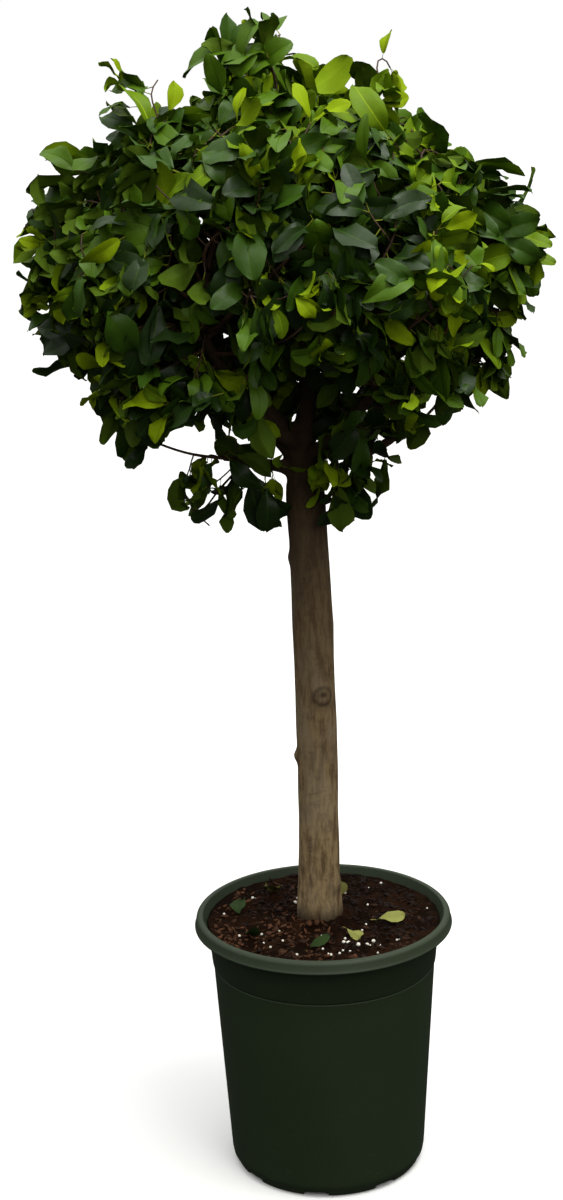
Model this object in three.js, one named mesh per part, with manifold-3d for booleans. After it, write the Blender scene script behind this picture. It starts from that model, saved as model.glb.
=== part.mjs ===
// A lollipop topiary: a small-leaved evergreen tree trained on one bare stem, with a shaggy ball of
// foliage, growing in a round plastic nursery pot.
// Millimetres, +Z up. The origin is the centre of the pot's underside. +X is the tree's right-hand side
// and -Y its front. Every solid is closed, and neighbours stand a small clearance apart.

import * as THREE from "three";
import { mergeVertices } from "three/addons/utils/BufferGeometryUtils.js";
import Module from "manifold-3d";

const wasm = await Module();
wasm.setup();

// ---------------------------------------------------------------- driving dimensions

const CLEARANCE = 0.5; // between neighbouring solids

const POT = {
  height: 320,
  footRadius: 113.5, // flat underside
  footCorner: 5,
  bodyRadiusLow: 118.5, // just above the foot's corner
  bodyHeightLow: 18,
  bodyRadiusHigh: 133.6, // under the step
  stepHeight: 257,
  stepRise: 4,
  bandRadiusLow: 135, // the band between the step and the lip
  bandRadiusHigh: 139.2,
  lipHeight: 15,
  lipRadius: 155,
  lipInnerRadius: 144.5, // the mouth; below it the wall narrows to the band
  lipRound: 5,
  lipFillet: 2, // where the lip's underside meets the band
  wall: 3,
  floor: 4,
  floorCorner: 3,
  sides: 32,
};
const DRAIN = { count: 8, width: 30, height: 6, depth: 12, turn: -98 }; // slots through the foot's edge

const SOIL = {
  level: 317, // round the stem
  edgeLevel: 314, // at the pot's wall
  edgeRound: 3,
  padRadius: 38, // flat round the stem
};

const STEM = {
  sides: 14,
  rings: 15,
  foot: SOIL.level + CLEARANCE,
  // the middle of the stem at its flat cut on the soil and at its tip between the boughs
  cut: [-4, 0, SOIL.level - 2],
  tip: [-12, 2, 905],
  bow: 5, // how far it bows to the right of a straight lean
  radius: 25.5, // low down, without the flare
  neckRadius: 23.6, // under the fork
  tipRadius: 14,
  neck: 92, // the length over which it narrows to its tip
  neckBend: 1.5, // above 1, it narrows slowly at first
  flare: 3.5, // how far the root flare stands out at the cut
  flareHeight: 18,
};

// Each bough leaves the stem at a height, bows as it turns out, and climbs. Turns are degrees from the
// tree's right towards its back, so the left is 180 and the front 270.
const BOUGH = { sides: 8, rings: 5, crumb: 200 }; // cut-off bits below the crumb's volume are no bough
const BOUGHS = [
  { name: "bough_leader", height: 890, turn: 60, reach: 16, climb: 150, bow: 0.1, base: 13, tip: 9 },
  { name: "bough_up_left", height: 878, turn: 174, reach: 120, climb: 175, bow: 0.1, base: 17, tip: 9 },
  { name: "bough_low_left", height: 862, turn: 186, reach: 190, climb: 34, bow: 0.02, base: 8.5, tip: 5 },
  { name: "bough_right", height: 868, turn: 352, reach: 175, climb: 125, bow: 0.08, base: 9, tip: 5.5 },
  { name: "bough_low_right", height: 842, turn: 5, reach: 225, climb: 130, bow: 0.06, base: 7, tip: 4.5 },
  { name: "bough_front_left", height: 884, turn: 234, reach: 190, climb: 175, bow: 0.14, base: 9, tip: 6 },
  { name: "bough_front_right", height: 872, turn: 306, reach: 190, climb: 165, bow: 0.14, base: 9, tip: 6 },
  { name: "bough_back_left", height: 876, turn: 128, reach: 200, climb: 170, bow: 0.14, base: 9.5, tip: 6 },
  { name: "bough_back_right", height: 864, turn: 50, reach: 200, climb: 165, bow: 0.14, base: 9.5, tip: 6 },
];

// The head of foliage. Its masses fill a ball with these half widths: across, deep and upright. Its
// underside is lower on the left than on the right by twice the lean, in degrees.
const HEAD = { centre: [-30, 0, 1098], half: [302, 286, 262], lean: 2.5 };
const SIDES = ["right", "back_right", "back", "back_left", "left", "front_left", "front", "front_right"];

// Rings of masses: which of the eight sides they lie on, how steeply above the middle, and their half
// sizes outwards, round and upright. Proud is how far they stand beyond the head's ball.
const RINGS = [
  { name: "middle", sides: SIDES, rise: -2, size: [92, 98, 98], proud: -4 },
  { name: "upper", sides: ["right", "left"], rise: 38, size: [64, 102, 70], proud: -46 },
  { name: "upper", sides: ["back", "front"], rise: 40, size: [80, 106, 74], proud: -14 },
  {
    name: "lower",
    sides: ["right", "back_right", "back_left", "front_left", "front_right"],
    rise: -32,
    size: [58, 84, 48],
    proud: 4,
  },
];

// The heart and the top, then the sprays that give the outline its furthest tips.
const HEART = { name: "heart", turn: 0, rise: 90, size: [108, 122, 118], proud: -150 };
const TOP = { name: "top", turn: 170, rise: 84, size: [80, 98, 82], proud: -24 };
const SPRAYS = [
  { name: "top_shoot", turn: 180, rise: 87, size: [34, 40, 40], proud: 14 },
  { name: "right_shoot", turn: 0, rise: 62, size: [32, 40, 44], proud: 8 },
  { name: "left_top_shoot", turn: 184, rise: 51, size: [50, 46, 34], proud: 2 },
  { name: "left_shoot", turn: 180, rise: 26, size: [48, 36, 22], proud: -6 },
  { name: "far_left", turn: 180, rise: 7, size: [46, 62, 58], proud: 7 },
  { name: "low_left", turn: 182, rise: -43, size: [38, 52, 58], proud: 10 },
  { name: "hanging_left", turn: 188, rise: -70, size: [37, 42, 70], proud: 58 },
  { name: "low_front", turn: 255, rise: -36, size: [50, 48, 44], proud: -14 },
  { name: "low_right", turn: 358, rise: -53, size: [34, 40, 32], proud: -14 },
  { name: "low_back", turn: 98, rise: -51, size: [54, 66, 50], proud: -4 },
];

// The sprays that hug the fork. They are cut round the boughs, which run on through them.
const FORK_SPRAYS = [
  { name: "fork", turn: 325, rise: -74.5, size: [38, 42, 74], proud: 50 },
  { name: "fork_left", turn: 202, rise: -85.5, size: [24, 30, 32], proud: 42 },
];

const MASS = {
  smallSize: 60, // a mass with a smaller mean half size is faceted one step less finely
  detail: 3,
  lumps: 0.13, // how uneven its surface is
  stemGap: 4, // extra room round the stem
  strayTurn: 5, // how far a ring's masses stray from its own turn, rise, size and reach
  strayRise: 4,
  straySize: 0.05,
  strayOut: 5,
};

const COLOURS = {
  pot: 0x2c3a2c,
  soil: 0x2e1f16,
  bark: 0x6f624a,
  bough: 0x4a3a2c,
  leaves: 0x35541f,
};

// ---------------------------------------------------------------- solids

function solidOf(geometry) {
  const plain = geometry.clone();
  plain.deleteAttribute("normal");
  plain.deleteAttribute("uv");
  const merged = mergeVertices(plain, 1e-3);
  return new wasm.Manifold(
    new wasm.Mesh({
      numProp: 3,
      vertProperties: new Float32Array(merged.attributes.position.array),
      triVerts: new Uint32Array(merged.index.array),
    }),
  );
}

function geometryOf(solid) {
  const mesh = solid.getMesh();
  const places = new Float32Array(mesh.numVert * 3);
  for (let i = 0; i < mesh.numVert; i++) {
    const at = i * mesh.numProp;
    places.set(mesh.vertProperties.subarray(at, at + 3), i * 3);
  }
  const indexed = new THREE.BufferGeometry()
    .setAttribute("position", new THREE.BufferAttribute(places, 3))
    .setIndex(new THREE.BufferAttribute(new Uint32Array(mesh.triVerts), 1));
  const geometry = indexed.toNonIndexed();
  geometry.computeVertexNormals();
  return geometry;
}

// The one body of a cut solid that scores highest.
function bestBody(solid, score) {
  const bodies = solid.decompose();
  return bodies.reduce((best, body) => (score(body) > score(best) ? body : best));
}

// A revolved profile of [radius, height] pairs, standing on Z. Its profile runs up the outside.
function turned(profile, sides) {
  const points = profile.map(([r, z]) => new THREE.Vector2(r, z));
  return new THREE.LatheGeometry(points, sides).rotateX(Math.PI / 2);
}

function radians(degrees) {
  return THREE.MathUtils.degToRad(degrees);
}

// ---------------------------------------------------------------- pot and soil

// An arc in a profile, as [radius, height] pairs from one angle to another round a centre.
function arc(radius, centre, from, to, steps) {
  return Array.from({ length: steps + 1 }, (_, i) => {
    const angle = radians(from + ((to - from) * i) / steps);
    return [centre[0] + radius * Math.cos(angle), centre[1] + radius * Math.sin(angle)];
  });
}

function potSolid() {
  const { height, wall, floorCorner, lipRadius, lipInnerRadius, lipHeight, lipRound, lipFillet } = POT;
  const lipBottom = height - lipHeight;
  const outside = [
    [0, 0],
    ...arc(POT.footCorner, [POT.footRadius, POT.footCorner], -90, 0, 2),
    [POT.bodyRadiusLow, POT.bodyHeightLow],
    [POT.bodyRadiusHigh, POT.stepHeight],
    [POT.bandRadiusLow, POT.stepHeight + POT.stepRise],
    [POT.bandRadiusHigh, lipBottom - lipFillet],
    [POT.bandRadiusHigh + lipFillet, lipBottom],
    [lipRadius, lipBottom],
    ...arc(lipRound, [lipRadius - lipRound, height - lipRound], 0, 90, 2),
    [lipInnerRadius, height],
  ];
  const inside = [
    [POT.bandRadiusHigh - wall, lipBottom - lipFillet],
    [POT.bandRadiusLow - wall, POT.stepHeight + POT.stepRise],
    [POT.bodyRadiusHigh - wall, POT.stepHeight],
    [POT.bodyRadiusLow - wall, POT.bodyHeightLow],
    [POT.footRadius - wall, POT.floor + floorCorner],
    [POT.footRadius - wall - floorCorner, POT.floor],
    [0, POT.floor],
  ];
  return solidOf(turned([...outside, ...inside], POT.sides));
}

// One drainage slot: a low arch, cut inwards from outside the foot.
function drainSlot(index) {
  const { width, height, depth, count, turn } = DRAIN;
  const section = new THREE.Shape();
  section.moveTo(-width / 2, -height);
  section.lineTo(width / 2, -height);
  section.lineTo(width / 2, height * 0.45);
  section.quadraticCurveTo(width * 0.42, height, width * 0.2, height);
  section.lineTo(-width * 0.2, height);
  section.quadraticCurveTo(-width * 0.42, height, -width / 2, height * 0.45);
  const cut = new THREE.ExtrudeGeometry(section, {
    depth: depth * 2,
    bevelEnabled: false,
    curveSegments: 2,
  });
  cut.rotateX(Math.PI / 2);
  cut.translate(0, POT.footRadius + POT.footCorner + depth, 0);
  cut.rotateZ(radians(turn + (360 * index) / count - 90));
  return solidOf(cut);
}

function buildPot() {
  let pot = potSolid();
  for (let i = 0; i < DRAIN.count; i++) pot = pot.subtract(drainSlot(i));
  return pot;
}

function buildSoil() {
  const inner = (outerRadius) => outerRadius - POT.wall - CLEARANCE;
  const low = POT.floor + CLEARANCE;
  const mouthStart = POT.height - POT.lipHeight - POT.lipFillet;
  const throat = inner(POT.bandRadiusHigh);
  const brim = SOIL.edgeLevel - SOIL.edgeRound / 2;
  const mouth = POT.lipInnerRadius - 2 * CLEARANCE;
  const edge = THREE.MathUtils.mapLinear(brim, mouthStart, POT.height, throat, mouth);
  const profile = [
    [0, low],
    [inner(POT.footRadius) - POT.floorCorner, low],
    [inner(POT.footRadius), low + POT.floorCorner],
    [inner(POT.bodyRadiusLow), POT.bodyHeightLow],
    [inner(POT.bodyRadiusHigh), POT.stepHeight],
    [inner(POT.bandRadiusLow), POT.stepHeight + POT.stepRise],
    [throat, mouthStart],
    [edge, brim],
    [edge - SOIL.edgeRound, SOIL.edgeLevel],
    [(edge + SOIL.padRadius) / 2, (SOIL.edgeLevel + SOIL.level) / 2 + 1],
    [SOIL.padRadius, SOIL.level],
    [0, SOIL.level],
  ];
  return solidOf(turned(profile, POT.sides));
}

// ---------------------------------------------------------------- stem and boughs

// A closed tapering limb: a cylinder whose rings are laid along a curve. radiusAt takes 0 to 1.
function limb(curve, radiusAt, sides, rings) {
  const geometry = new THREE.CylinderGeometry(1, 1, 1, sides, rings);
  const places = geometry.attributes.position;
  const side = new THREE.Vector3();
  const front = new THREE.Vector3();
  for (let i = 0; i < places.count; i++) {
    const along = THREE.MathUtils.clamp(places.getY(i) + 0.5, 0, 1);
    const centre = curve.getPointAt(along);
    const heading = curve.getTangentAt(along);
    side.set(0, 1, 0).cross(heading);
    const runsForward = side.lengthSq() < 0.04;
    if (runsForward) side.set(1, 0, 0).cross(heading);
    side.normalize();
    front.copy(heading).cross(side);
    const radius = radiusAt(along);
    centre.addScaledVector(side, places.getX(i) * radius);
    centre.addScaledVector(front, -places.getZ(i) * radius);
    places.setXYZ(i, centre.x, centre.y, centre.z);
  }
  return solidOf(geometry);
}

// The middle of the stem: a straight lean with one bow in it.
class StemCurve extends THREE.Curve {
  getPoint(along, target = new THREE.Vector3()) {
    target.set(...STEM.cut).lerp(new THREE.Vector3(...STEM.tip), along);
    target.x += STEM.bow * Math.sin(Math.PI * along);
    return target;
  }
}

// The stem's radius at a distance up from its cut: a slow taper, a root flare and a narrowing neck.
function stemRadius(distance, length) {
  const { radius, neckRadius, tipRadius, neck, neckBend, flare, flareHeight } = STEM;
  const neckStart = length - neck;
  const taper = THREE.MathUtils.lerp(radius, neckRadius, Math.min(distance / neckStart, 1));
  const closing = Math.max(0, (distance - neckStart) / neck) ** neckBend;
  return taper + flare * Math.exp(-distance / flareHeight) - (neckRadius - tipRadius) * closing;
}

// The stem, or the stem grown by a clearance. The foot stays flat at the soil.
function buildStem(grow = 0) {
  const curve = new StemCurve();
  const length = curve.getLength();
  const stem = limb(curve, (along) => stemRadius(along * length, length) + grow, STEM.sides, STEM.rings);
  return stem.trimByPlane([0, 0, 1], STEM.foot);
}

function boughCurve({ height, turn, reach, climb, bow }) {
  const share = (height - STEM.cut[2]) / (STEM.tip[2] - STEM.cut[2]);
  const start = new StemCurve().getPoint(Math.min(share, 1));
  const out = new THREE.Vector3(Math.cos(radians(turn)), Math.sin(radians(turn)), 0);
  const end = start.clone().addScaledVector(out, reach);
  end.z += climb;
  const knee = start.clone().lerp(end, 0.5);
  const length = Math.hypot(reach, climb);
  knee.addScaledVector(out, bow * length * (climb / length));
  knee.z -= bow * length * (reach / length);
  return new THREE.QuadraticBezierCurve3(start, knee, end);
}

function buildBough(bough, grow = 0) {
  const radiusAt = (along) => THREE.MathUtils.lerp(bough.base, bough.tip, along) + grow;
  return limb(boughCurve(bough), radiusAt, BOUGH.sides, BOUGH.rings);
}

// ---------------------------------------------------------------- foliage

// A smooth uneven value from about -1 to 1 over directions, different for each seed.
function unevenness(direction, seed) {
  const waves = [
    [2.1, 1.3, 0.7],
    [-1.6, 2.4, 1.9],
    [3.3, -1.1, 2.6],
    [-2.7, -3.1, 1.4],
  ];
  let sum = 0;
  waves.forEach(([x, y, z], i) => {
    const phase = seed * (i + 1) * 1.7 + i;
    sum += Math.sin(direction.x * x + direction.y * y + direction.z * z + phase) / (1 + i * 0.35);
  });
  return sum / 2.2;
}

// How far the head's ball reaches in a direction.
function headReach(direction) {
  const [across, deep, upright] = HEAD.half;
  return 1 / Math.hypot(direction.x / across, direction.y / deep, direction.z / upright);
}

// The middle of a mass that reaches to the head's ball, or proud of it.
function massPlace({ turn, rise, size, proud }) {
  const flat = Math.cos(radians(rise));
  const direction = new THREE.Vector3(
    flat * Math.cos(radians(turn)),
    flat * Math.sin(radians(turn)),
    Math.sin(radians(rise)),
  );
  const [out, , upright] = size;
  const halfAlong = 1 / Math.hypot(flat / out, Math.sin(radians(rise)) / upright);
  const reach = headReach(direction) - halfAlong + proud;
  return direction.multiplyScalar(reach).add(new THREE.Vector3(...HEAD.centre));
}

// A lumpy ball with half sizes outwards, round and upright, turned to face away from the middle.
function lumpyBall(mass, seed, grow = 0) {
  const [out, round, upright] = mass.size;
  const isSmall = (out + round + upright) / 3 < MASS.smallSize;
  const ball = new THREE.OctahedronGeometry(1, isSmall ? MASS.detail - 1 : MASS.detail);
  const places = ball.attributes.position;
  const point = new THREE.Vector3();
  for (let i = 0; i < places.count; i++) {
    point.fromBufferAttribute(places, i).normalize();
    const swell = 1 + MASS.lumps * unevenness(point, seed);
    places.setXYZ(
      i,
      point.x * (out * swell + grow),
      point.y * (round * swell + grow),
      point.z * (upright * swell + grow),
    );
  }
  const centre = massPlace(mass);
  return ball.rotateZ(radians(mass.turn)).translate(centre.x, centre.y, centre.z);
}

// The masses of one ring, each a little off the ring's own turn, rise and size.
function ringMasses(ring, ringIndex) {
  return ring.sides.map((side) => {
    const place = SIDES.indexOf(side);
    const seed = ringIndex * SIDES.length + place;
    const stray = (step) => Math.sin(seed * 2.4 + step * 1.9);
    const turn = place * (360 / SIDES.length);
    return {
      name: `${ring.name}_${side}`,
      turn: turn + stray(0) * MASS.strayTurn,
      rise: ring.rise + stray(1) * MASS.strayRise + HEAD.lean * Math.cos(radians(turn)),
      size: ring.size.map((half, i) => half * (1 + stray(2 + i) * MASS.straySize)),
      proud: ring.proud + stray(5) * MASS.strayOut,
    };
  });
}

// A mass cut round the stem and round everything in the way. Rooms are grown by the clearance.
function cutMass(mass, seed, rooms) {
  let solid = solidOf(lumpyBall(mass, seed)).subtract(buildStem(CLEARANCE + MASS.stemGap));
  for (const room of rooms) solid = solid.subtract(room);
  return {
    name: `mass_${mass.name}`,
    solid: bestBody(solid, (body) => body.volume()),
    room: solidOf(lumpyBall(mass, seed, CLEARANCE)),
  };
}

// Every mass but those at the fork, each cut round those before it, from the heart out.
function buildMasses() {
  const made = [];
  const masses = [HEART, ...RINGS.flatMap(ringMasses), TOP, ...SPRAYS];
  masses.forEach((mass, index) => {
    made.push(cutMass(mass, index, made.map(({ room }) => room)));
  });
  return made;
}

// Each bough, cut at the stem, at the boughs before it and where it enters a mass.
function buildBoughs(masses) {
  const made = [];
  const stemRoom = buildStem(CLEARANCE);
  for (const bough of BOUGHS) {
    let solid = buildBough(bough).subtract(stemRoom);
    for (const { room } of [...masses, ...made]) solid = solid.subtract(room);
    const foot = boughCurve(bough).getPointAt(0);
    const nearness = (body) => {
      const { min, max } = body.boundingBox();
      const middle = new THREE.Vector3().addVectors(new THREE.Vector3(...min), new THREE.Vector3(...max));
      return body.volume() > BOUGH.crumb ? -middle.multiplyScalar(0.5).distanceTo(foot) : -Infinity;
    };
    solid = bestBody(solid, nearness);
    made.push({ name: bough.name, solid, room: buildBough(bough, CLEARANCE) });
  }
  return made;
}

// ---------------------------------------------------------------- assembly

function part(name, solid, colour, roughness) {
  const material = new THREE.MeshStandardMaterial({ color: colour, roughness, metalness: 0 });
  const mesh = new THREE.Mesh(geometryOf(solid), material);
  mesh.name = name;
  return mesh;
}

function buildTree() {
  const tree = new THREE.Group();
  tree.name = "topiary";
  const masses = buildMasses();
  const boughs = buildBoughs(masses);
  const inTheWay = [...masses, ...boughs].map(({ room }) => room);
  for (const spray of FORK_SPRAYS) masses.push(cutMass(spray, masses.length, inTheWay));
  tree.add(part("pot", buildPot(), COLOURS.pot, 0.5));
  tree.add(part("potting_mix", buildSoil(), COLOURS.soil, 0.95));
  tree.add(part("stem", buildStem(), COLOURS.bark, 0.9));
  for (const { name, solid } of boughs) tree.add(part(name, solid, COLOURS.bough, 0.85));
  for (const { name, solid } of masses) tree.add(part(name, solid, COLOURS.leaves, 0.6));
  return tree;
}

export default buildTree();
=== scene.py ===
"""Looks of a standard fig topiary in its nursery pot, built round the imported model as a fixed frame.

Every size is in metres. The stem, the boughs and the masses of foliage are read from the frame, and
the twigs and leaves grow on from them by a seeded rule.
"""

import functools
import math
import random

import bmesh
import bpy
import numpy as np
from mathutils import Matrix, Vector, noise
from mathutils.bvhtree import BVHTree
from mathutils.kdtree import KDTree


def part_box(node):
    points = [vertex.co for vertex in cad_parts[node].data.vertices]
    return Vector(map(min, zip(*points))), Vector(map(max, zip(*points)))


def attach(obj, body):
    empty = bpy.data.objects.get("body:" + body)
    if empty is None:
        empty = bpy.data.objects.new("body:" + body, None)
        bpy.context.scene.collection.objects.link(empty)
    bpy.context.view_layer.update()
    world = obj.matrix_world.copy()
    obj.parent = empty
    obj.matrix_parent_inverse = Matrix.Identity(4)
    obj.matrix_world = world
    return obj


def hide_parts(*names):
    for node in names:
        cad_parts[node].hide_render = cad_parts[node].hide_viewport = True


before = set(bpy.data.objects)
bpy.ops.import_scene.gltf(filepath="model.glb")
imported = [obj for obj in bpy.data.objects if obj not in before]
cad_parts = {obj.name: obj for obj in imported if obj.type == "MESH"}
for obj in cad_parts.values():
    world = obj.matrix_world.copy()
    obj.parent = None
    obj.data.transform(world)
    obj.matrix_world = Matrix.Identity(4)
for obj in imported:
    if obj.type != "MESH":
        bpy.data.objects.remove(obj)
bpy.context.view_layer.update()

bl_info = {
    "name": "Standard Fig Topiary",
    "version": (1, 0, 0),
    "blender": (4, 5, 0),
    "location": "View3D > Sidebar > Topiary",
    "description": "Grows a shaggy ball-headed fig on a bare stem, in a plastic nursery pot",
    "category": "Add Mesh",
}

MM = 0.001
BODY = "root"
UP = Vector((0, 0, 1))
WELD = 0.02 * MM  # points nearer than this are one point
GOLDEN_TURN = math.radians(137.5)

MASSES = sorted(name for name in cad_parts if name.startswith("mass_"))
BOUGHS = sorted(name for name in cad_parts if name.startswith("bough_"))


def linear(red, green, blue):
    """A display colour, 0 to 255 a channel, as the linear colour that a socket takes."""
    shares = [channel / 255 for channel in (red, green, blue)]
    return tuple(s / 12.92 if s <= 0.04045 else ((s + 0.055) / 1.055) ** 2.4 for s in shares)


def length(name, description, default):
    """A size in metres that the user can change."""
    return bpy.props.FloatProperty(
        name=name, description=description, default=default, unit="LENGTH", precision=4
    )


def share(name, description, default):
    """A share from 0 to 1 that the user can change."""
    return bpy.props.FloatProperty(
        name=name, description=description, default=default, min=0, max=1, subtype="FACTOR"
    )


def colour(name, description, display):
    """A colour that the user can change."""
    return bpy.props.FloatVectorProperty(
        name=name, description=description, default=linear(*display), min=0, max=1, subtype="COLOR"
    )


def count(name, description, default):
    """A whole number that the user can change."""
    return bpy.props.IntProperty(name=name, description=description, default=default, min=0)


# ---------------------------------------------------------------------------------------------
# Settings


class PotSettings(bpy.types.PropertyGroup):
    """Sizes and colours of the nursery pot."""

    foot_radius: length("Foot radius", "Radius of the foot at the top of its rounded corner", 113.5 * MM)
    foot_round: length("Foot rounding", "Radius of the foot's outer corner", 5 * MM)
    body_low: length("Low body radius", "Body radius just above the foot", 118.5 * MM)
    body_high: length("High body radius", "Body radius under the band", 133.6 * MM)
    body_start: length("Body start", "Height at which the straight body starts", 18 * MM)
    step_height: length("Step height", "Height of the step under the band", 257 * MM)
    step_rise: length("Step rise", "Height of the step itself", 4 * MM)
    band_low: length("Low band radius", "Band radius just above the step", 135 * MM)
    band_high: length("High band radius", "Band radius under the lip", 139.2 * MM)
    lip_height: length("Lip height", "Height of the rolled lip", 15 * MM)
    lip_inner: length("Lip inner radius", "Radius of the pot's mouth", 144.5 * MM)
    wall: length("Wall", "Thickness of the pot's wall", 3 * MM)
    floor: length("Floor", "Thickness of the pot's floor", 4 * MM)
    sides: count("Sides", "Steps round the pot", 144)
    notches: count("Notches", "Drainage notches round the foot", 8)
    notch_width: length("Notch width", "Width of a drainage notch", 30 * MM)
    notch_height: length("Notch height", "Height of a drainage notch", 6 * MM)
    notch_depth: length("Notch depth", "Depth of a notch into the foot", 12 * MM)
    plastic: colour("Plastic", "Dark green of the pot", (38, 50, 31))
    # the paler lip is partly dust and wear and partly painted sheen of the light from above
    lip_dust_and_sheen: colour("Lip", "Paler, dustier green of the lip", (52, 60, 46))
    dust: colour("Dust", "Specks of dust on the plastic", (112, 112, 92))


class MixSettings(bpy.types.PropertyGroup):
    """Sizes and colours of the potting mix and what lies on it."""

    mound: length("Mound", "How much higher the mix is at the stem than at the wall", 4 * MM)
    clods: length("Clods", "Height of the mix's lumps", 3.2 * MM)
    heap: length("Heap", "Height that the heap round the stem would have at its middle", 8 * MM)
    heap_radius: length("Heap radius", "How far the heap reaches from the mix's middle", 46 * MM)
    chips: count("Chips", "Bark chips and fibres on the mix", 1500)
    perlite: count("Perlite", "White grains of perlite, at most", 46)
    fallen: count("Fallen leaves", "Leaves that have dropped onto the mix", 7)
    seed: count("Seed", "Seed of the scatter", 5)
    dark: colour("Dark mix", "Wet, dark parts of the mix", (21, 10, 4))
    brown: colour("Brown mix", "Dry, brown parts of the mix", (46, 27, 14))
    chip: colour("Chips", "Orange-brown bark fibres", (72, 45, 26))
    grain: colour("Perlite", "White perlite", (226, 222, 208))
    fallen_green: colour("Fallen green", "Leaves that have just dropped", (40, 56, 26))
    fallen_olive: colour("Fallen olive", "Leaves that have begun to dry", (78, 76, 34))
    fallen_pale: colour("Fallen pale", "Leaves that have yellowed", (134, 136, 72))


class BarkSettings(bpy.types.PropertyGroup):
    """Relief and colours of the stem and the boughs."""

    voxel: length("Voxel", "Mesh size of the fused wood", 1.7 * MM)
    knots: count("Knots", "Knots up the stem", 7)
    knot_width: length("Knot width", "Width of a knot", 20 * MM)
    knot_lift: length("Knot lift", "How far a knot stands out", 4.2 * MM)
    furrows: length("Furrows", "Depth of the bark's fine upright furrows", 0.55 * MM)
    swells: length("Swells", "Height of the stem's broad swellings", 1.3 * MM)
    grey: colour("Grey bark", "Weathered bark low on the stem", (144, 123, 87))
    brown: colour("Brown bark", "Bark between the streaks", (94, 74, 50))
    pale: colour("Pale patches", "Pale patches and corky spots", (158, 144, 116))
    # painted shadow of the crown on the upper stem, partly also darker bark there; its darker tint also
    # colours the knots and the stem's foot
    shade: colour("Upper bark", "Darker bark under the crown", (52, 37, 23))


class CrownSettings(bpy.types.PropertyGroup):
    """How the twigs branch and how the leaves sit on them."""

    seed: count("Seed", "Seed of the growth", 11)
    voxel: length("Voxel", "Mesh size of the fused room for foliage", 5 * MM)
    spacing: length("Spacing", "Distance between twig tips near the outside", 22.5 * MM)
    core_spacing: length("Core spacing", "Distance between twig tips deep inside", 31 * MM)
    skin: length("Skin", "How far inside the room the outermost twig tips end", 11 * MM)
    shoot: length("Shoot", "How far inside each mass the twig towards its far end stops", 24 * MM)
    dents: length("Dents", "How deep the gaps between tufts cut into the crown", 20 * MM)
    tuft: length("Tuft", "Size of the tufts that the dents set apart", 62 * MM)
    cuff: length("Cuff", "How far leaves stand off the outer stretch of a bough", 36 * MM)
    tries: count("Tries", "Places tried for a twig tip", 90000)
    step: length("Step", "Length of one step of growth", 11 * MM)
    arrive: length("Arrival", "Distance at which a twig has reached its target", 12 * MM)
    tip_radius: length("Twig tip", "Radius of a twig's last step", 0.85 * MM)
    leafy: length("Leafy length", "Length of twig behind a tip that bears leaves", 150 * MM)
    leaf_length: length("Leaf length", "Length of a full-grown blade", 52 * MM)
    overhang: length("Overhang", "How far most leaves' tips may pass the room's skin", 5 * MM)
    stand_out: length("Stand out", "How far a bold leaf's tip may pass the room's skin", 17 * MM)
    bold_share: share("Bold leaves", "Share of the leaves at twig tips that may stand out", 0.35)
    thickness: length("Leaf thickness", "Thickness of a blade at its midrib", 0.5 * MM)
    bare_share: share("Bare joints", "Share of a leafy twig's joints that bear no leaf", 0.2)
    lime_share: share("Young tips", "Share of the outer sprays that end in young lime leaves", 0.27)


class LeafColours(bpy.types.PropertyGroup):
    """Plain colours that are dealt out to the leaves by spray; deep, dark, mid and fresh go to sprays by how
    much light they get, as painted light and shade.
    """

    deep: colour("Deep", "Inner and shaded leaves", (28, 47, 11))
    dark: colour("Dark", "Most full-grown leaves", (45, 71, 13))
    mid: colour("Mid", "Leaves in good light", (66, 94, 14))
    # fresh also goes to the sprays in most light, as painted light, besides young leaves
    fresh: colour("Fresh", "This season's leaves", (90, 116, 13))
    lime: colour("Lime", "Young leaves at the tips", (118, 140, 12))
    under_dull: colour("Underside", "Underside of a full-grown leaf", (64, 84, 18))
    under_fresh: colour("Young underside", "Underside of a young leaf", (114, 138, 18))
    rib: colour("Midrib", "Midrib of a full-grown leaf", (54, 78, 12))
    rib_fresh: colour("Young midrib", "Midrib of a young leaf", (128, 150, 22))
    stalk: colour("Stalk", "Leaf stalks", (102, 108, 30))
    twig: colour("Twigs", "Reddish brown twigs", (66, 45, 29))


class StageSettings(bpy.types.PropertyGroup):
    """Camera, floor and lights."""

    distance: length("Distance", "Distance of the camera in front of the plant", 2.4)
    height: length("Height", "Height of the camera", 1.3392)
    lens: bpy.props.FloatProperty(
        name="Lens", description="Focal length in millimetres", default=64.21
    )
    yaw: bpy.props.FloatProperty(
        name="Yaw", description="Turn to the right", default=math.radians(-0.9555), subtype="ANGLE"
    )
    pitch: bpy.props.FloatProperty(
        name="Pitch", description="Tilt down", default=math.radians(14.747), subtype="ANGLE"
    )
    roll: bpy.props.FloatProperty(
        name="Roll", description="Turn about the view", default=math.radians(-1.548), subtype="ANGLE"
    )
    floor: colour("Floor", "Pale studio floor", (244, 244, 242))


SETTINGS = {
    "topiary_pot": PotSettings,
    "topiary_mix": MixSettings,
    "topiary_bark": BarkSettings,
    "topiary_crown": CrownSettings,
    "topiary_leaves": LeafColours,
    "topiary_stage": StageSettings,
}


# ---------------------------------------------------------------------------------------------
# Materials


class Flow:
    """A value that changes over a surface: a socket that takes part in Python expressions."""

    def __init__(self, finish, socket):
        self.finish = finish
        self.socket = socket

    def maths(self, operation, first, second):
        return self.finish.node("ShaderNodeMath", {0: first, 1: second}, operation=operation)

    def __add__(self, other):
        return self.maths("ADD", self, other)

    def __rsub__(self, other):
        return self.maths("SUBTRACT", other, self)

    def __mul__(self, other):
        return self.maths("MULTIPLY", self, other)

    __radd__ = __add__
    __rmul__ = __mul__


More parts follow.
